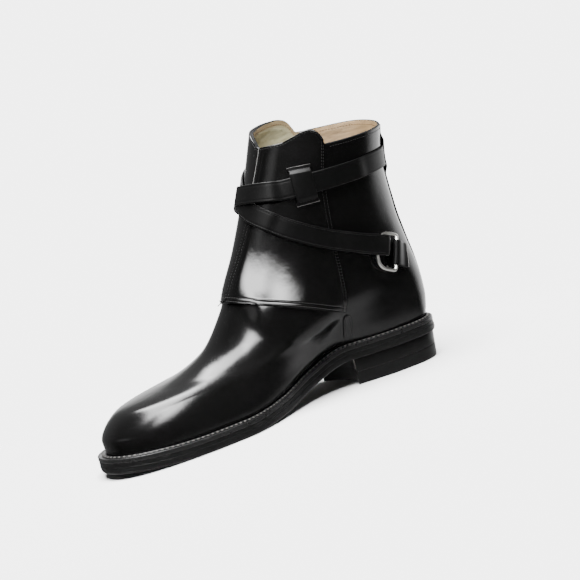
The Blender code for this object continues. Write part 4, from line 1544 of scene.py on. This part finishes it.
@dataclass
class WrapStrap:
    """The long strap and its ring, with the tab that holds the ring."""

    bench: Bench
    width: float = STRAP_WIDTH
    thickness: float = STRAP_THICKNESS
    seat: float = 0.35
    fold_turn: float = 115.5
    seam_turn: float = 104.0
    seam_ease: float = 12.0
    lap_middle: float = 14.0
    lap_reach: float = 29.0
    lap_ease: float = 8.0
    cross_full: float = 30.0
    cross_ease: float = 14.0
    fold_tail: float = 15.0
    fold_back: float = 7.8
    fold_ease: float = 34.0
    fold_fall: float = 30.0
    tip_length: float = 14.0
    tip_width: float = 0.35
    step: float = 2.0
    wire: float = 1.5
    ring_height: float = 27.8
    ring_depth: float = 20.5
    ring_drop: float = 4.0
    ring_roundness: float = 0.42
    tab_length: float = 13.0
    tab_fall: float = 10.0
    tab_width: float = 19.5
    tab: float = 1.3
    # Reach of the cut finish at the tab's ends, and half-width of the pale band across the strap's fold,
    # which is partly a painted highlight.
    bare: float = 0.6
    stitch_inset: float = 1.6
    stitch_sunk: float = 0.08
    stitch_pitch: float = 2.2
    stitch_back: float = 4.0
    stitch_reach: float = 150.0

    CREASE = (2.0, 0.22)
    TAB_CREASE = (1.6, 0.12)
    TAIL_STEPS = 12
    FOLD_STEPS = 19
    BOW_STEPS = 81
    BAR_STEPS = 30
    WIRE_RINGS = 145
    WIRE_SIDES = 16
    SMOOTHINGS = 10
    TAB_BELOW_STEPS = 10
    TAB_FOLD_STEPS = 17
    TAB_ABOVE_STEPS = 22
    STITCH_STEPS = 260

    @property
    def fold_rise(self) -> float:
        """Height from the strap's tail to its main length, round the ring's wire."""
        return 2.0 * self.wire + 3.0 * GAP + self.thickness

    @property
    def ring_mark(self) -> float:
        """Place of the fold along the strap's route."""
        return self.bench.strap.mark(self.fold_turn)

    @property
    def ring_lift(self) -> float:
        """Height of the ring's wire above the upper."""
        return GAP + self.thickness + 1.5 * GAP + self.wire

    def seat_at(self, turn: Array) -> Array:
        """Lift of the face that the strap lies on, at an angle round in degrees."""
        turn = wrapped(turn)
        on_panel = ease((self.seam_turn + self.seam_ease - np.abs(turn)) / self.seam_ease)
        on_lap = ease((self.lap_reach - np.abs(turn - self.lap_middle)) / self.lap_ease)
        return self.seat + on_panel * (PANEL_THICKNESS + SEAT) + on_lap * (PANEL_THICKNESS + GAP)

    def main_lift(self, along: Array) -> Array:
        """Lift of the strap's middle along its length."""
        turn = np.degrees(self.bench.strap.on(along)[0])
        second = ease((self.cross_full + self.cross_ease - np.abs(turn + 360.0)) / self.cross_ease)
        lift = self.seat_at(turn) + 0.5 * self.thickness + second * (self.thickness + GAP)
        over = ease((self.ring_mark + self.fold_tail + self.fold_ease - along) / self.fold_fall)
        return np.maximum(lift, GAP + 0.5 * self.thickness + over * self.fold_rise)

    def build(self) -> None:
        """Builds the strap, the ring and the tab."""
        self.build_strap()
        self.build_ring()
        self.build_tab()

    def build_strap(self) -> bpy.types.Object:
        """Builds the strap, folded round the ring and led twice across the front, with a pale band across
        the fold's bend that is partly wear and partly a painted highlight.
        """
        route = self.bench.strap
        start = self.ring_mark - self.fold_back
        rise = self.fold_rise
        tail = np.linspace(self.ring_mark + self.fold_tail, start, self.TAIL_STEPS)
        angle = np.linspace(-QUARTER_TURN, -3.0 * QUARTER_TURN, self.FOLD_STEPS)[1:-1]
        main = np.linspace(start, route.length, int((route.length - start) / self.step))
        along = np.concatenate([tail, start + 0.5 * rise * np.cos(angle), main])
        base = GAP + 0.5 * self.thickness
        lift = np.concatenate([
            np.full(tail.shape, base), base + 0.5 * rise * (1.0 + np.sin(angle)), self.main_lift(main),
        ])
        lean = np.concatenate([np.full(tail.shape, -HALF_TURN), angle - QUARTER_TURN, np.zeros_like(main)])
        tip = np.sqrt(ease((route.length - along) / self.tip_length))
        width = self.width * (self.tip_width + (1.0 - self.tip_width) * tip)
        band = Ribbon(self.width, self.thickness, *self.CREASE)
        bm = band.lay(route, along, lift, lean, width)
        # The middle of the fold's bend gets the pale cut-edge finish: partly wear, partly a painted
        # highlight along the bend.
        fold = self.fold_tail + self.fold_back + 0.5 * QUARTER_TURN * rise
        paint(bm, lambda run, across: int(abs(run - fold) < self.bare))
        return self.bench.publish("strap_leather", bm, [Finish.STRAP, Finish.CUT], "strap", ["wrap_strap"])

    def build_ring(self) -> bpy.types.Object:
        """Builds the ring's wire."""
        route = self.bench.strap
        share = np.linspace(-1.0, 1.0, self.BOW_STEPS)
        angle = QUARTER_TURN * np.sign(share) * (1.0 - (1.0 - np.abs(share)) ** 3)
        bar = self.ring_mark - self.ring_depth
        bow = bar + self.ring_depth * np.clip(np.cos(angle), 0.0, 1.0) ** self.ring_roundness
        straight = np.linspace(1.0, -1.0, self.BAR_STEPS)[1:-1]
        flat = np.stack([
            np.concatenate([bow, np.full(straight.shape, bar)]),
            0.5 * self.ring_height * np.concatenate([np.sin(angle), straight]),
        ], -1)
        closed = np.concatenate([flat, flat[:1]])
        run = lengths(closed, 0)
        line = spaced(np.linspace(0.0, run[-1], self.WIRE_RINGS)[:-1], run, closed)
        for _ in range(self.SMOOTHINGS):
            line = 0.5 * line + 0.25 * (np.roll(line, 1, axis=0) + np.roll(line, -1, axis=0))
        along, across = line[:, 0], line[:, 1] + self.ring_drop
        middle, normal = route.line(along, across, self.ring_lift)
        outward = unit(np.cross(np.roll(middle, -1, axis=0) - np.roll(middle, 1, axis=0), normal))
        turn = closed_turn(self.WIRE_SIDES)[:, None, None]
        points = middle + self.wire * (np.cos(turn) * outward + np.sin(turn) * normal)
        points = np.concatenate([points, points[:, :1]], axis=1)
        bm = lay_grid(points, points[..., :2])
        return self.bench.publish("ring_wire", bm, [Finish.RING], "ring", ["ring"])

    def build_tab(self) -> bpy.types.Object:
        """Builds the tab folded round the ring's straight bar."""
        bar = self.ring_mark - self.ring_depth
        rise = 2.0 * self.wire + 2.0 * GAP + self.tab
        angle = np.linspace(-QUARTER_TURN, QUARTER_TURN, self.TAB_FOLD_STEPS)
        below = np.linspace(bar - self.tab_length, bar, self.TAB_BELOW_STEPS)[:-1]
        above = np.linspace(bar, bar - self.tab_length, self.TAB_ABOVE_STEPS)[1:]
        along = np.concatenate([below, bar + 0.5 * rise * np.cos(angle), above])
        drop = ease((bar - above) / self.tab_fall)
        lift = np.concatenate([
            np.full(below.shape, -0.5 * rise), 0.5 * rise * np.sin(angle),
            0.5 * rise - drop * (rise - self.tab - GAP),
        ]) + self.ring_lift
        lean = np.concatenate([np.zeros_like(below), angle + QUARTER_TURN, np.full(above.shape, HALF_TURN)])
        band = Ribbon(self.tab_width, self.tab, *self.TAB_CREASE)
        bm = band.lay(self.bench.strap, along, lift, lean, None, self.ring_drop)
        bare_ends(bm, self.bare)
        return self.bench.publish("tab_leather", bm, [Finish.STRAP, Finish.CUT], "strap", ["ring_tab"])

    def dress(self, sewing: Sewing) -> None:
        """Sews both edges of the strap, from the ring on."""
        route = self.bench.strap
        mark = self.ring_mark
        along = np.linspace(mark - self.stitch_back, mark + self.stitch_reach, self.STITCH_STEPS)
        lift = self.main_lift(along) + 0.5 * self.thickness - self.stitch_sunk
        edge = 0.5 * self.width - self.stitch_inset
        rows = [route.line(along, np.full(along.shape, across), lift) for across in (edge, -edge)]
        sewing.sew("strap_stitches", rows, self.stitch_pitch, Finish.DARK_THREAD, "strap")


@dataclass
class Keeper:
    """Loop sewn to the medial panel, through which the strap runs."""

    bench: Bench
    top: tuple[float, float] = (95.0, 178.0)
    bottom: tuple[float, float] = (97.0, 148.5)
    width: float = 18.0
    waist: float = 16.0
    thickness: float = 1.5
    reach: float = 5.0
    rise: float = 3.8
    ear: float = 2.2
    ear_ease: float = 1.0
    bare: float = 0.5
    bar_inset: float = 2.6
    bar_end: float = 1.5
    stitch_pitch: float = 2.0
    route: Route = field(init=False)

    CREASE = (1.8, 0.14)
    STEPS = 90
    BAR_STEPS = 30

    def __post_init__(self) -> None:
        """Lays the line that the loop follows, from its lower to its upper end."""
        last = self.bench.last
        turns = [last.turn_at(*spot, Side.MEDIAL) for spot in (self.bottom, self.top)]
        self.route = Route(last, np.degrees(turns), [self.bottom[1], self.top[1]])

    def lift(self, along: Array) -> Array:
        """Lift of the loop's middle, flat at its sewn ends and high over the strap."""
        from_middle = np.abs(along - 0.5 * self.route.length)
        over = ease((0.5 * STRAP_WIDTH + self.reach - from_middle) / self.rise)
        base = SEAT + PANEL_THICKNESS + 0.5 * self.thickness
        return base + over * (STRAP_THICKNESS + KEEPER_CLEAR)

    def build(self) -> bpy.types.Object:
        """Builds the loop with an ear and a bare cut edge at each end."""
        length = self.route.length
        along = np.linspace(0.0, length, self.STEPS)
        from_end = 0.5 * length - np.abs(along - 0.5 * length)
        flare = ease((self.ear + self.ear_ease - from_end) / self.ear_ease)
        width = self.waist + (self.width - self.waist) * flare
        band = Ribbon(self.width, self.thickness, *self.CREASE)
        bm = band.lay(self.route, along, self.lift(along), np.zeros_like(along), width)
        bare_ends(bm, self.bare)
        finishes = [Finish.STRAP, Finish.CUT]
        return self.bench.publish("keeper_leather", bm, finishes, "strap", ["strap_keeper"])

    def dress(self, sewing: Sewing) -> None:
        """Sews a bar across each end."""
        half = 0.5 * self.waist - self.bar_end
        across = np.linspace(-half, half, self.BAR_STEPS)
        rows = []
        for mark in (self.bar_inset, self.route.length - self.bar_inset):
            along = np.full(across.shape, mark)
            lift = self.lift(along) + 0.5 * self.thickness - STITCH_SUNK
            rows.append(self.route.line(along, across, lift))
        sewing.sew("keeper_stitches", rows, self.stitch_pitch, Finish.DARK_THREAD, "strap")


@dataclass
class Trim:
    """Backstay and the short strips at the foot of the side seams."""

    bench: Bench
    backstay_top: float = 188.5
    backstay_bottom: float = 50.0
    backstay_width: float = 20.5
    backstay: float = 1.6
    backstay_reach: float = 9.0
    backstay_ease: float = 7.0
    strip_top: float = 57.0
    strip_bottom: float = 39.5
    strip_x: float = 86.0
    strip_width: float = 7.5
    strip: float = 1.0
    strip_lift: float = 0.4
    strip_tip: float = 0.3
    stitch_inset: float = 0.9
    stitch_lift: float = 0.9
    stitch_from: float = 0.5
    stitch_short: float = 1.2
    stitch_pitch: float = 2.0

    BACKSTAY_CREASE = (1.8, 0.14)
    STRIP_CREASE = (1.3, 0.12)
    BACKSTAY_STEPS = 150
    STRIP_STEPS = 40
    STRIP_ROWS = 5

    def build(self) -> None:
        """Builds the backstay and both strips."""
        last = self.bench.last
        route = Route(last, [180.0, 180.0], [self.backstay_bottom, self.backstay_top])
        along = np.linspace(0.0, route.length, self.BACKSTAY_STEPS)
        from_strap = np.abs(np.interp(along, route.marks, route.heights) - BACK_STRAP_HEIGHT)
        over = ease((0.5 * STRAP_WIDTH + self.backstay_reach - from_strap) / self.backstay_ease)
        lift = 0.5 * self.backstay + over * (STRAP_THICKNESS + KEEPER_CLEAR)
        band = Ribbon(self.backstay_width, self.backstay, *self.BACKSTAY_CREASE)
        bm = band.lay(route, along, lift, np.zeros_like(along))
        self.bench.publish("backstay_leather", bm, [Finish.STAY], "upper", ["backstay"])
        for side in Side:
            route = self.strip_route(side)
            along = np.linspace(0.0, route.length, self.STRIP_STEPS)
            lift = np.full(along.shape, self.strip_lift * self.strip)
            band = Ribbon(self.strip_width, self.strip, *self.STRIP_CREASE)
            width = 2.0 * self.strip_half(route, along)
            bm = band.lay(route, along, lift, np.zeros_like(along), width)
            node = "side_strip_" + side.name.lower()
            self.bench.publish(node + "_leather", bm, [Finish.UPPER], "upper", [node])

    def strip_route(self, side: Side) -> Route:
        """Line up the middle of one side's strip."""
        heights = np.linspace(self.strip_bottom, self.strip_top, self.STRIP_ROWS)
        turns = np.degrees([self.bench.last.turn_at(self.strip_x, z, side) for z in heights])
        return Route(self.bench.last, turns, heights)

    def strip_half(self, route: Route, along: Array) -> Array:
        """Half-width of a strip, which narrows to a round top."""
        tip = np.sqrt(np.clip((route.length - along) / (0.5 * self.strip_width), 0.0, 1.0))
        return 0.5 * self.strip_width * (self.strip_tip + (1.0 - self.strip_tip) * tip)

    def dress(self, sewing: Sewing) -> None:
        """Sews both strips down along their outline."""
        rows = []
        for side in Side:
            route = self.strip_route(side)
            up = np.linspace(self.stitch_from, route.length - self.stitch_short, self.STRIP_STEPS)
            along = np.concatenate([up, up[::-1]])
            half = self.strip_half(route, up) - self.stitch_inset
            across = np.concatenate([half, -half[::-1]])
            rows.append(route.line(along, across, self.stitch_lift * self.strip))
        sewing.sew("strip_stitches", rows, self.stitch_pitch, Finish.DARK_THREAD, "upper")


class Rib(NamedTuple):
    """Ring of the sole's edge: distance in from the edge and height above the underside."""

    inset: float
    height: float


class Crest(NamedTuple):
    """Ring of the welt's top: share of the way from its edge to the upper, height above the underside."""

    share: float
    height: float


OUTSOLE_RIBS = [
    Rib(6.0, 5.2), Rib(0.25, 5.15), Rib(0.05, 5.0), Rib(0.0, 4.6), Rib(0.0, 3.2), Rib(0.08, 2.0),
    Rib(0.3, 1.1), Rib(0.65, 0.45), Rib(1.2, 0.05), Rib(1.9, 0.0),
]
MIDSOLE_RIBS = [
    Rib(6.0, 8.45), Rib(0.35, 8.4), Rib(0.22, 8.25), Rib(0.17, 7.9), Rib(0.15, 6.8), Rib(0.17, 5.7),
    Rib(0.22, 5.35), Rib(0.35, 5.2), Rib(6.0, 5.15),
]
WELT_RIBS = [
    Rib(6.0, 8.35), Rib(0.35, 8.4), Rib(0.12, 8.55), Rib(0.03, 8.9), Rib(0.0, 10.0), Rib(0.0, 10.9),
]
WELT_CRESTS = [
    Crest(0.02, 11.35), Crest(0.06, 11.58), Crest(0.12, 11.65), Crest(0.25, 11.62), Crest(0.36, 11.50),
    Crest(0.42, 11.20), Crest(0.48, 11.00), Crest(0.54, 11.20), Crest(0.59, 11.75), Crest(0.65, 12.45),
    Crest(0.73, 12.85), Crest(0.82, 12.95), Crest(0.91, 12.80), Crest(0.97, 12.35), Crest(1.03, 11.60),
]


@dataclass
class Sole:
    """Welt, midsole, outsole and heel."""

    bench: Bench
    around: int = 300
    cap_steps: int = 10
    welt_beside: float = 0.22
    welt_clear: float = 0.4
    stitch_share: float = 0.63
    stitch_height: float = 12.2
    top_piece: float = 10.2
    breast: float = 86.0
    bow: float = 9.0
    inset_top: float = 1.8
    inset_bottom: float = 3.4
    raw_from: float = 76.0
    raw_low: float = 11.0
    raw_high: float = 29.0
    raw_facing: float = 0.6
    joint: float = 0.05
    bite: float = 0.1
    heel_sharp: float = 60.0
    stitch_tilt: float = 0.85
    stitch_size: tuple[float, float, float] = (2.2, 1.8, 0.9)
    stitch_pitch: float = 4.0

    HEEL_FOOT = ((0.0, 0.55), (0.12, 0.2), (0.45, 0.0))
    HEEL_HEAD = ((0.45, 0.0), (0.12, 0.15), (0.0, 0.45))
    HEEL_STEPS = 150
    BREAST_STEPS = 40

    @property
    def turns(self) -> Array:
        """Angles of the points round a ring."""
        return closed_turn(self.around)

    def lay(self, rings: Sequence[Array]) -> bmesh.types.BMesh:
        """Mesh over rings of points."""
        points = np.array(rings)
        run = lengths(points, 0)
        return lay_grid(points, np.stack([np.broadcast_to(self.turns, run.shape), run], -1))

    def to_middle(self, ring: Array) -> list[Array]:
        """Rings that close a sole's face, from its edge to the line along its middle."""
        rings = []
        for share in np.linspace(1.0, 0.0, self.cap_steps + 1)[1:]:
            inner = ring.copy()
            middle = 0.5 * (ring[:, 1] + ring[::-1, 1])
            inner[:, 1] = middle + (ring[:, 1] - middle) * share
            rings.append(inner)
        return rings

    def build(self) -> None:
        """Builds every layer from the welt down."""
        self.build_welt()
        for name, ribs in (("midsole", MIDSOLE_RIBS), ("outsole", OUTSOLE_RIBS)):
            rings = self.edge_rings(ribs)
            rings = self.to_middle(rings[0])[::-1] + rings + self.to_middle(rings[-1])
            self.bench.publish(name + "_edge", self.lay(rings), [Finish.SOLE], "sole", [name])
        self.build_heel()

    def edge_rings(self, ribs: Sequence[Rib]) -> list[Array]:
        """Rings on the sole's edge."""
        return [self.bench.last.sole_ring(self.turns, rib.inset, rib.height) for rib in ribs]

    def welt_ring(self, crest: Crest) -> Array:
        """Ring on the welt's top."""
        last = self.bench.last
        beside = last.lifted(self.turns, np.full(self.turns.shape, self.welt_beside), self.welt_clear)
        edge = last.sole_ring(self.turns, 0.0, 0.0)
        ring = edge + (beside - edge) * crest.share
        ring[:, 2] = last.under(ring[:, 0]) + crest.height
        return ring

    def build_welt(self) -> None:
        """Builds the welt with its raised bead."""
        rings = self.edge_rings(WELT_RIBS) + [self.welt_ring(crest) for crest in WELT_CRESTS]
        self.bench.publish("welt_edge", self.lay(rings), [Finish.WELT], "welt", ["welt"])

    def heel_loop(self, inset: float, height: float) -> Array:
        """Outline of the heel at one height, with a hollow breast, closed."""
        last = self.bench.last
        start = math.acos(2.0 * (self.breast - inset) / (last.length - 2.0 * inset) - 1.0)
        ring = last.sole_ring(np.linspace(start, FULL_TURN - start, self.HEEL_STEPS), inset, 0.0)
        bow = np.linspace(-1.0, 1.0, self.BREAST_STEPS)[1:-1]
        middle = 0.5 * (ring[0, 1] + ring[-1, 1])
        reach = 0.5 * (ring[0, 1] - ring[-1, 1])
        hollow = self.breast - self.bow * (1.0 - bow * bow)
        breast = np.stack([hollow, middle + bow * reach, np.zeros_like(bow)], -1)
        loop = np.concatenate([ring, breast, ring[:1]])
        loop[:, 2] = height
        return loop

    def build_heel(self) -> None:
        """Builds the heel stack and its top piece."""
        joint = self.top_piece + self.joint
        blocks = (
            ("heel_top_piece", 0.0, joint, [Finish.RUBBER], "top_piece"),
            ("heel_base", joint, HEEL_HEIGHT + self.bite, [Finish.HEEL, Finish.RAW], "sole"),
        )
        for name, low, high, finishes, slot in blocks:
            levels = [(low + rise, extra) for rise, extra in self.HEEL_FOOT]
            levels += [(high - fall, extra) for fall, extra in self.HEEL_HEAD]
            points = np.array([self.heel_loop(self.heel_inset(z) + extra, z) for z, extra in levels])
            bm = lay_grid(points, points[..., :2])
            cap(bm)
            bm.normal_update()
            if Finish.RAW in finishes:
                for face in bm.faces:
                    face.material_index = int(self.is_raw(face))
            self.bench.publish(name + "_block", bm, finishes, slot, [name], self.heel_sharp)

    def heel_inset(self, height: float) -> float:
        """Distance of the heel's edge in from the sole's edge."""
        return self.inset_bottom + (self.inset_top - self.inset_bottom) * height / HEEL_HEIGHT

    def is_raw(self, face: bmesh.types.BMFace) -> bool:
        """Whether a face lies in the undyed patch on the heel's breast."""
        spot = face.calc_center_median()
        on_breast = abs(face.normal.x) > self.raw_facing and spot.x > self.raw_from
        return on_breast and self.raw_low < spot.y < self.raw_high

    def dress(self, sewing: Sewing) -> None:
        """Sews the welt all the way round and gives the insole its leather."""
        points = self.welt_ring(Crest(self.stitch_share, self.stitch_height))
        outward = self.bench.last.sole_ring(self.turns, 0.0, 0.0) - points
        outward[:, 2] = 0.0
        normals = unit(unit(outward) + np.array([0.0, 0.0, self.stitch_tilt]))
        length, width, height = self.stitch_size
        coarse = replace(sewing, length=length, width=width, height=height)
        coarse.sew("welt_stitches", [(points, normals)], self.stitch_pitch, Finish.WELT_THREAD, "welt")
        insole = frame["nodes"]["insole"].data
        insole.materials.clear()
        insole.materials.append(self.bench.palette.get(Finish.INSOLE))


class Mirror(Enum):
    """Pieces that a lamp shines on."""

    ALL = "all"
    WALL = "wall"
    PANEL = "panel"
    REST = "rest"


class Lamp(NamedTuple):
    """Soft light mirrored by the boot: direction and roll in degrees, distance, sizes, brightness, fade."""

    name: str
    azimuth: float
    elevation: float
    roll: float
    distance: float
    width: float
    height: float
    radiance: float
    fade: float
    mirror: Mirror = Mirror.ALL


MIRRORS = {
    "upper_wall": Mirror.WALL,
    "medial_panel_leather": Mirror.PANEL,
    "lateral_panel_leather": Mirror.PANEL,
    "ring_wire": Mirror.PANEL,
}
LAMPS = [
    Lamp("key", 46.0, 41.5, -21.0, 5.0, 6.20, 2.15, 36.0, 0.38, Mirror.PANEL),
    Lamp("key_wing", 4.0, 25.6, -21.0, 5.0, 4.20, 2.00, 36.0, 0.45, Mirror.PANEL),
    Lamp("soft_key", 46.0, 42.5, -18.0, 1.7, 2.10, 0.74, 9.0, 0.40, Mirror.REST),
    Lamp("strip", 23.5, 43.0, 0.0, 0.36, 0.16, 0.28, 36.0, 0.40, Mirror.WALL),
    Lamp("overhead", -150.0, 85.0, 14.0, 1.6, 0.60, 2.9, 28.0, 0.22),
    Lamp("front_fill", 68.0, 26.5, 0.0, 1.7, 1.2, 0.40, 0.9, 0.25),
]


@dataclass
class Studio:
    """Ground, lamps, surround and camera."""

    palette: Palette
    target: tuple[float, float, float] = (-0.04112, 0.000317, 0.08496)
    distance: float = 1.38035
    azimuth: float = 27.82
    elevation: float = 8.35
    roll: float = -14.86
    lens: float = 110.32
    sensor: float = 36.0
    ground_half: float = 0.9
    top_strength: float = 20.0
    top_spread: float = 50.0
    top_azimuth: float = 20.0
    top_elevation: float = 80.0
    top_distance: float = 2.5
    backdrop: float = 5.0
    glow: float = 2.2
    glow_azimuth: float = -125.0
    low_glow: float = 0.75
    side_glow: float = 0.2
    dusk: float = 0.04

    GLOW_EDGE = (0.62, 0.92)
    GLOW_TOP = (0.30, 0.10)
    GLOW_FOOT = (-0.45, -0.25)
    LOW_EDGE = (-0.36, -0.62)
    SIDE_EDGE = (0.0, -0.7)

    def toward(self, azimuth: float, elevation: float) -> Vector:
        """Direction from the boot, with the azimuth counted from +Y towards +X."""
        a = math.radians(azimuth)
        e = math.radians(elevation)
        return Vector((math.sin(a) * math.cos(e), math.cos(a) * math.cos(e), math.sin(e)))

    def build_ground(self) -> None:
        """Pale floor that fades into the backdrop."""
        bm = bmesh.new()
        bmesh.ops.create_grid(bm, x_segments=1, y_segments=1, size=self.ground_half)
        mesh = bpy.data.meshes.new("floor")
        bm.to_mesh(mesh)
        bm.free()
        mesh.materials.append(self.palette.get(Finish.GROUND))
        floor = bpy.data.objects.new("floor", mesh)
        bpy.context.scene.collection.objects.link(floor)
        floor.visible_glossy = False
        floor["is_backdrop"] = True

    def hang(
        self, light: bpy.types.Light, azimuth: float, elevation: float, roll: float, distance: float
    ) -> bpy.types.Object:
        """Hangs a light in a direction from the boot, facing it, and gives its object."""
        item = bpy.data.objects.new(light.name, light)
        direction = self.toward(azimuth, elevation)
        turn = direction.to_track_quat("Z", "Y").to_matrix() @ Matrix.Rotation(math.radians(roll), 3, "Z")
        item.location = Vector(self.target) + direction * distance
        item.rotation_euler = turn.to_euler()
        bpy.context.scene.collection.objects.link(item)
        item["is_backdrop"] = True
        return item

    def build_lamps(self) -> None:
        """Broad light from above for colour and shadow, and soft lamps that the gloss mirrors."""
        top = bpy.data.lights.new("top_light", "SUN")
        top.energy = self.top_strength
        top.angle = math.radians(self.top_spread)
        sun = self.hang(top, self.top_azimuth, self.top_elevation, 0.0, self.top_distance)
        sun.visible_glossy = False
        receivers = {mirror: bpy.data.collections.new(mirror.value) for mirror in Mirror}
        for piece in list(bpy.context.scene.collection.objects):
            receivers[MIRRORS.get(piece.name, Mirror.REST)].objects.link(piece)
        for lamp in LAMPS:
            light = bpy.data.lights.new(lamp.name, "AREA")
            light.shape = "RECTANGLE"
            light.size = lamp.width
            light.size_y = lamp.height
            light.energy = lamp.radiance * math.pi * lamp.width * lamp.height
            self.soften(light, lamp)
            item = self.hang(light, lamp.azimuth, lamp.elevation, lamp.roll, lamp.distance)
            item.visible_diffuse = False
            item.visible_camera = False
            if lamp.mirror is not Mirror.ALL:
                item.light_linking.receiver_collection = receivers[lamp.mirror]

    def soften(self, light: bpy.types.Light, lamp: Lamp) -> None:
        """Lets a lamp fade out towards its edges."""
        board = Board(light)
        spot = board.add("ShaderNodeNewGeometry", {}, {}, "Parametric")
        across = board.part(spot, 0)
        upward = board.part(spot, 1)
        fade = across.step(0.0, lamp.fade) * across.step(1.0, 1.0 - lamp.fade)
        fade = fade * upward.step(0.0, lamp.fade) * upward.step(1.0, 1.0 - lamp.fade)
        board.end("ShaderNodeOutputLight", "ShaderNodeEmission", {"Strength": fade})

    def build_surround(self) -> None:
        """Room round the set: pale to the camera, and dusk with glows behind, below and beside the boot."""
        world = bpy.data.worlds.new("surround")
        room = Board(world)
        seen = room.add("ShaderNodeTexCoord", {}, {}, "Generated")
        behind = self.toward(self.glow_azimuth, 0.0)
        product = {"operation": "DOT_PRODUCT"}
        facing = room.add("ShaderNodeVectorMath", product, {0: seen, 1: behind}, "Value")
        high = room.part(seen, 2)
        level_band = high.step(*self.GLOW_TOP) * high.step(*self.GLOW_FOOT)
        glow = facing.step(*self.GLOW_EDGE) * level_band * self.glow + self.dusk
        glow = glow + high.step(*self.LOW_EDGE) * self.low_glow
        aside = room.part(seen, 1)
        glow = glow + aside.step(*self.SIDE_EDGE) * self.side_glow
        camera_ray = room.add("ShaderNodeLightPath", {}, {}, "Is Camera Ray")
        level = camera_ray * self.backdrop + (1.0 - camera_ray) * glow
        room.end("ShaderNodeOutputWorld", "ShaderNodeBackground", {"Color": grey(1.0), "Strength": level})
        bpy.context.scene.world = world

    def build_camera(self) -> None:
        """Camera at the photograph's angle to the boot."""
        back = self.toward(self.azimuth, self.elevation)
        right = Vector((0.0, 0.0, 1.0)).cross(back).normalized()
        up = back.cross(right)
        turn = math.radians(self.roll)
        across = right * math.cos(turn) + up * math.sin(turn)
        upward = up * math.cos(turn) - right * math.sin(turn)
        data = bpy.data.cameras.new("camera")
        data.lens = self.lens
        data.sensor_width = self.sensor
        data.dof.use_dof = False
        camera = bpy.data.objects.new("camera", data)
        matrix = Matrix((across, upward, back)).transposed().to_4x4()
        matrix.translation = Vector(self.target) + back * self.distance
        camera.matrix_world = matrix
        bpy.context.scene.collection.objects.link(camera)
        bpy.context.scene.camera = camera

    def build(self) -> None:
        """Builds the whole set."""
        self.build_ground()
        self.build_lamps()
        self.build_surround()
        self.build_camera()


def write_sizes() -> None:
    """Works out the solids' box and the looks' box as plain lists; nothing is written."""
    boxes = {"cad": CAD_BOX, "visual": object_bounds()}
    plain = {name: [[float(part) for part in corner] for corner in box] for name, box in boxes.items()}


def main() -> None:
    """Builds the boot's looks piece by piece, then the studio."""
    logging.basicConfig(level=logging.INFO, format="%(message)s")
    last = Last()
    palette = Palette()
    bench = Bench(last, palette, Route(last, *zip(*STRAP_ROUTE)))
    sewing = Sewing(bench)
    panels = [FrontPanel(bench, Side.LATERAL, seam_top=LATERAL_SEAM_TOP), FrontPanel(bench, Side.MEDIAL)]
    for assembly in (Upper(bench), *panels, WrapStrap(bench), Keeper(bench), Trim(bench), Sole(bench)):
        assembly.build()
        assembly.dress(sewing)
    Studio(palette).build()
    write_sizes()


if __name__ == "__main__":
    main()
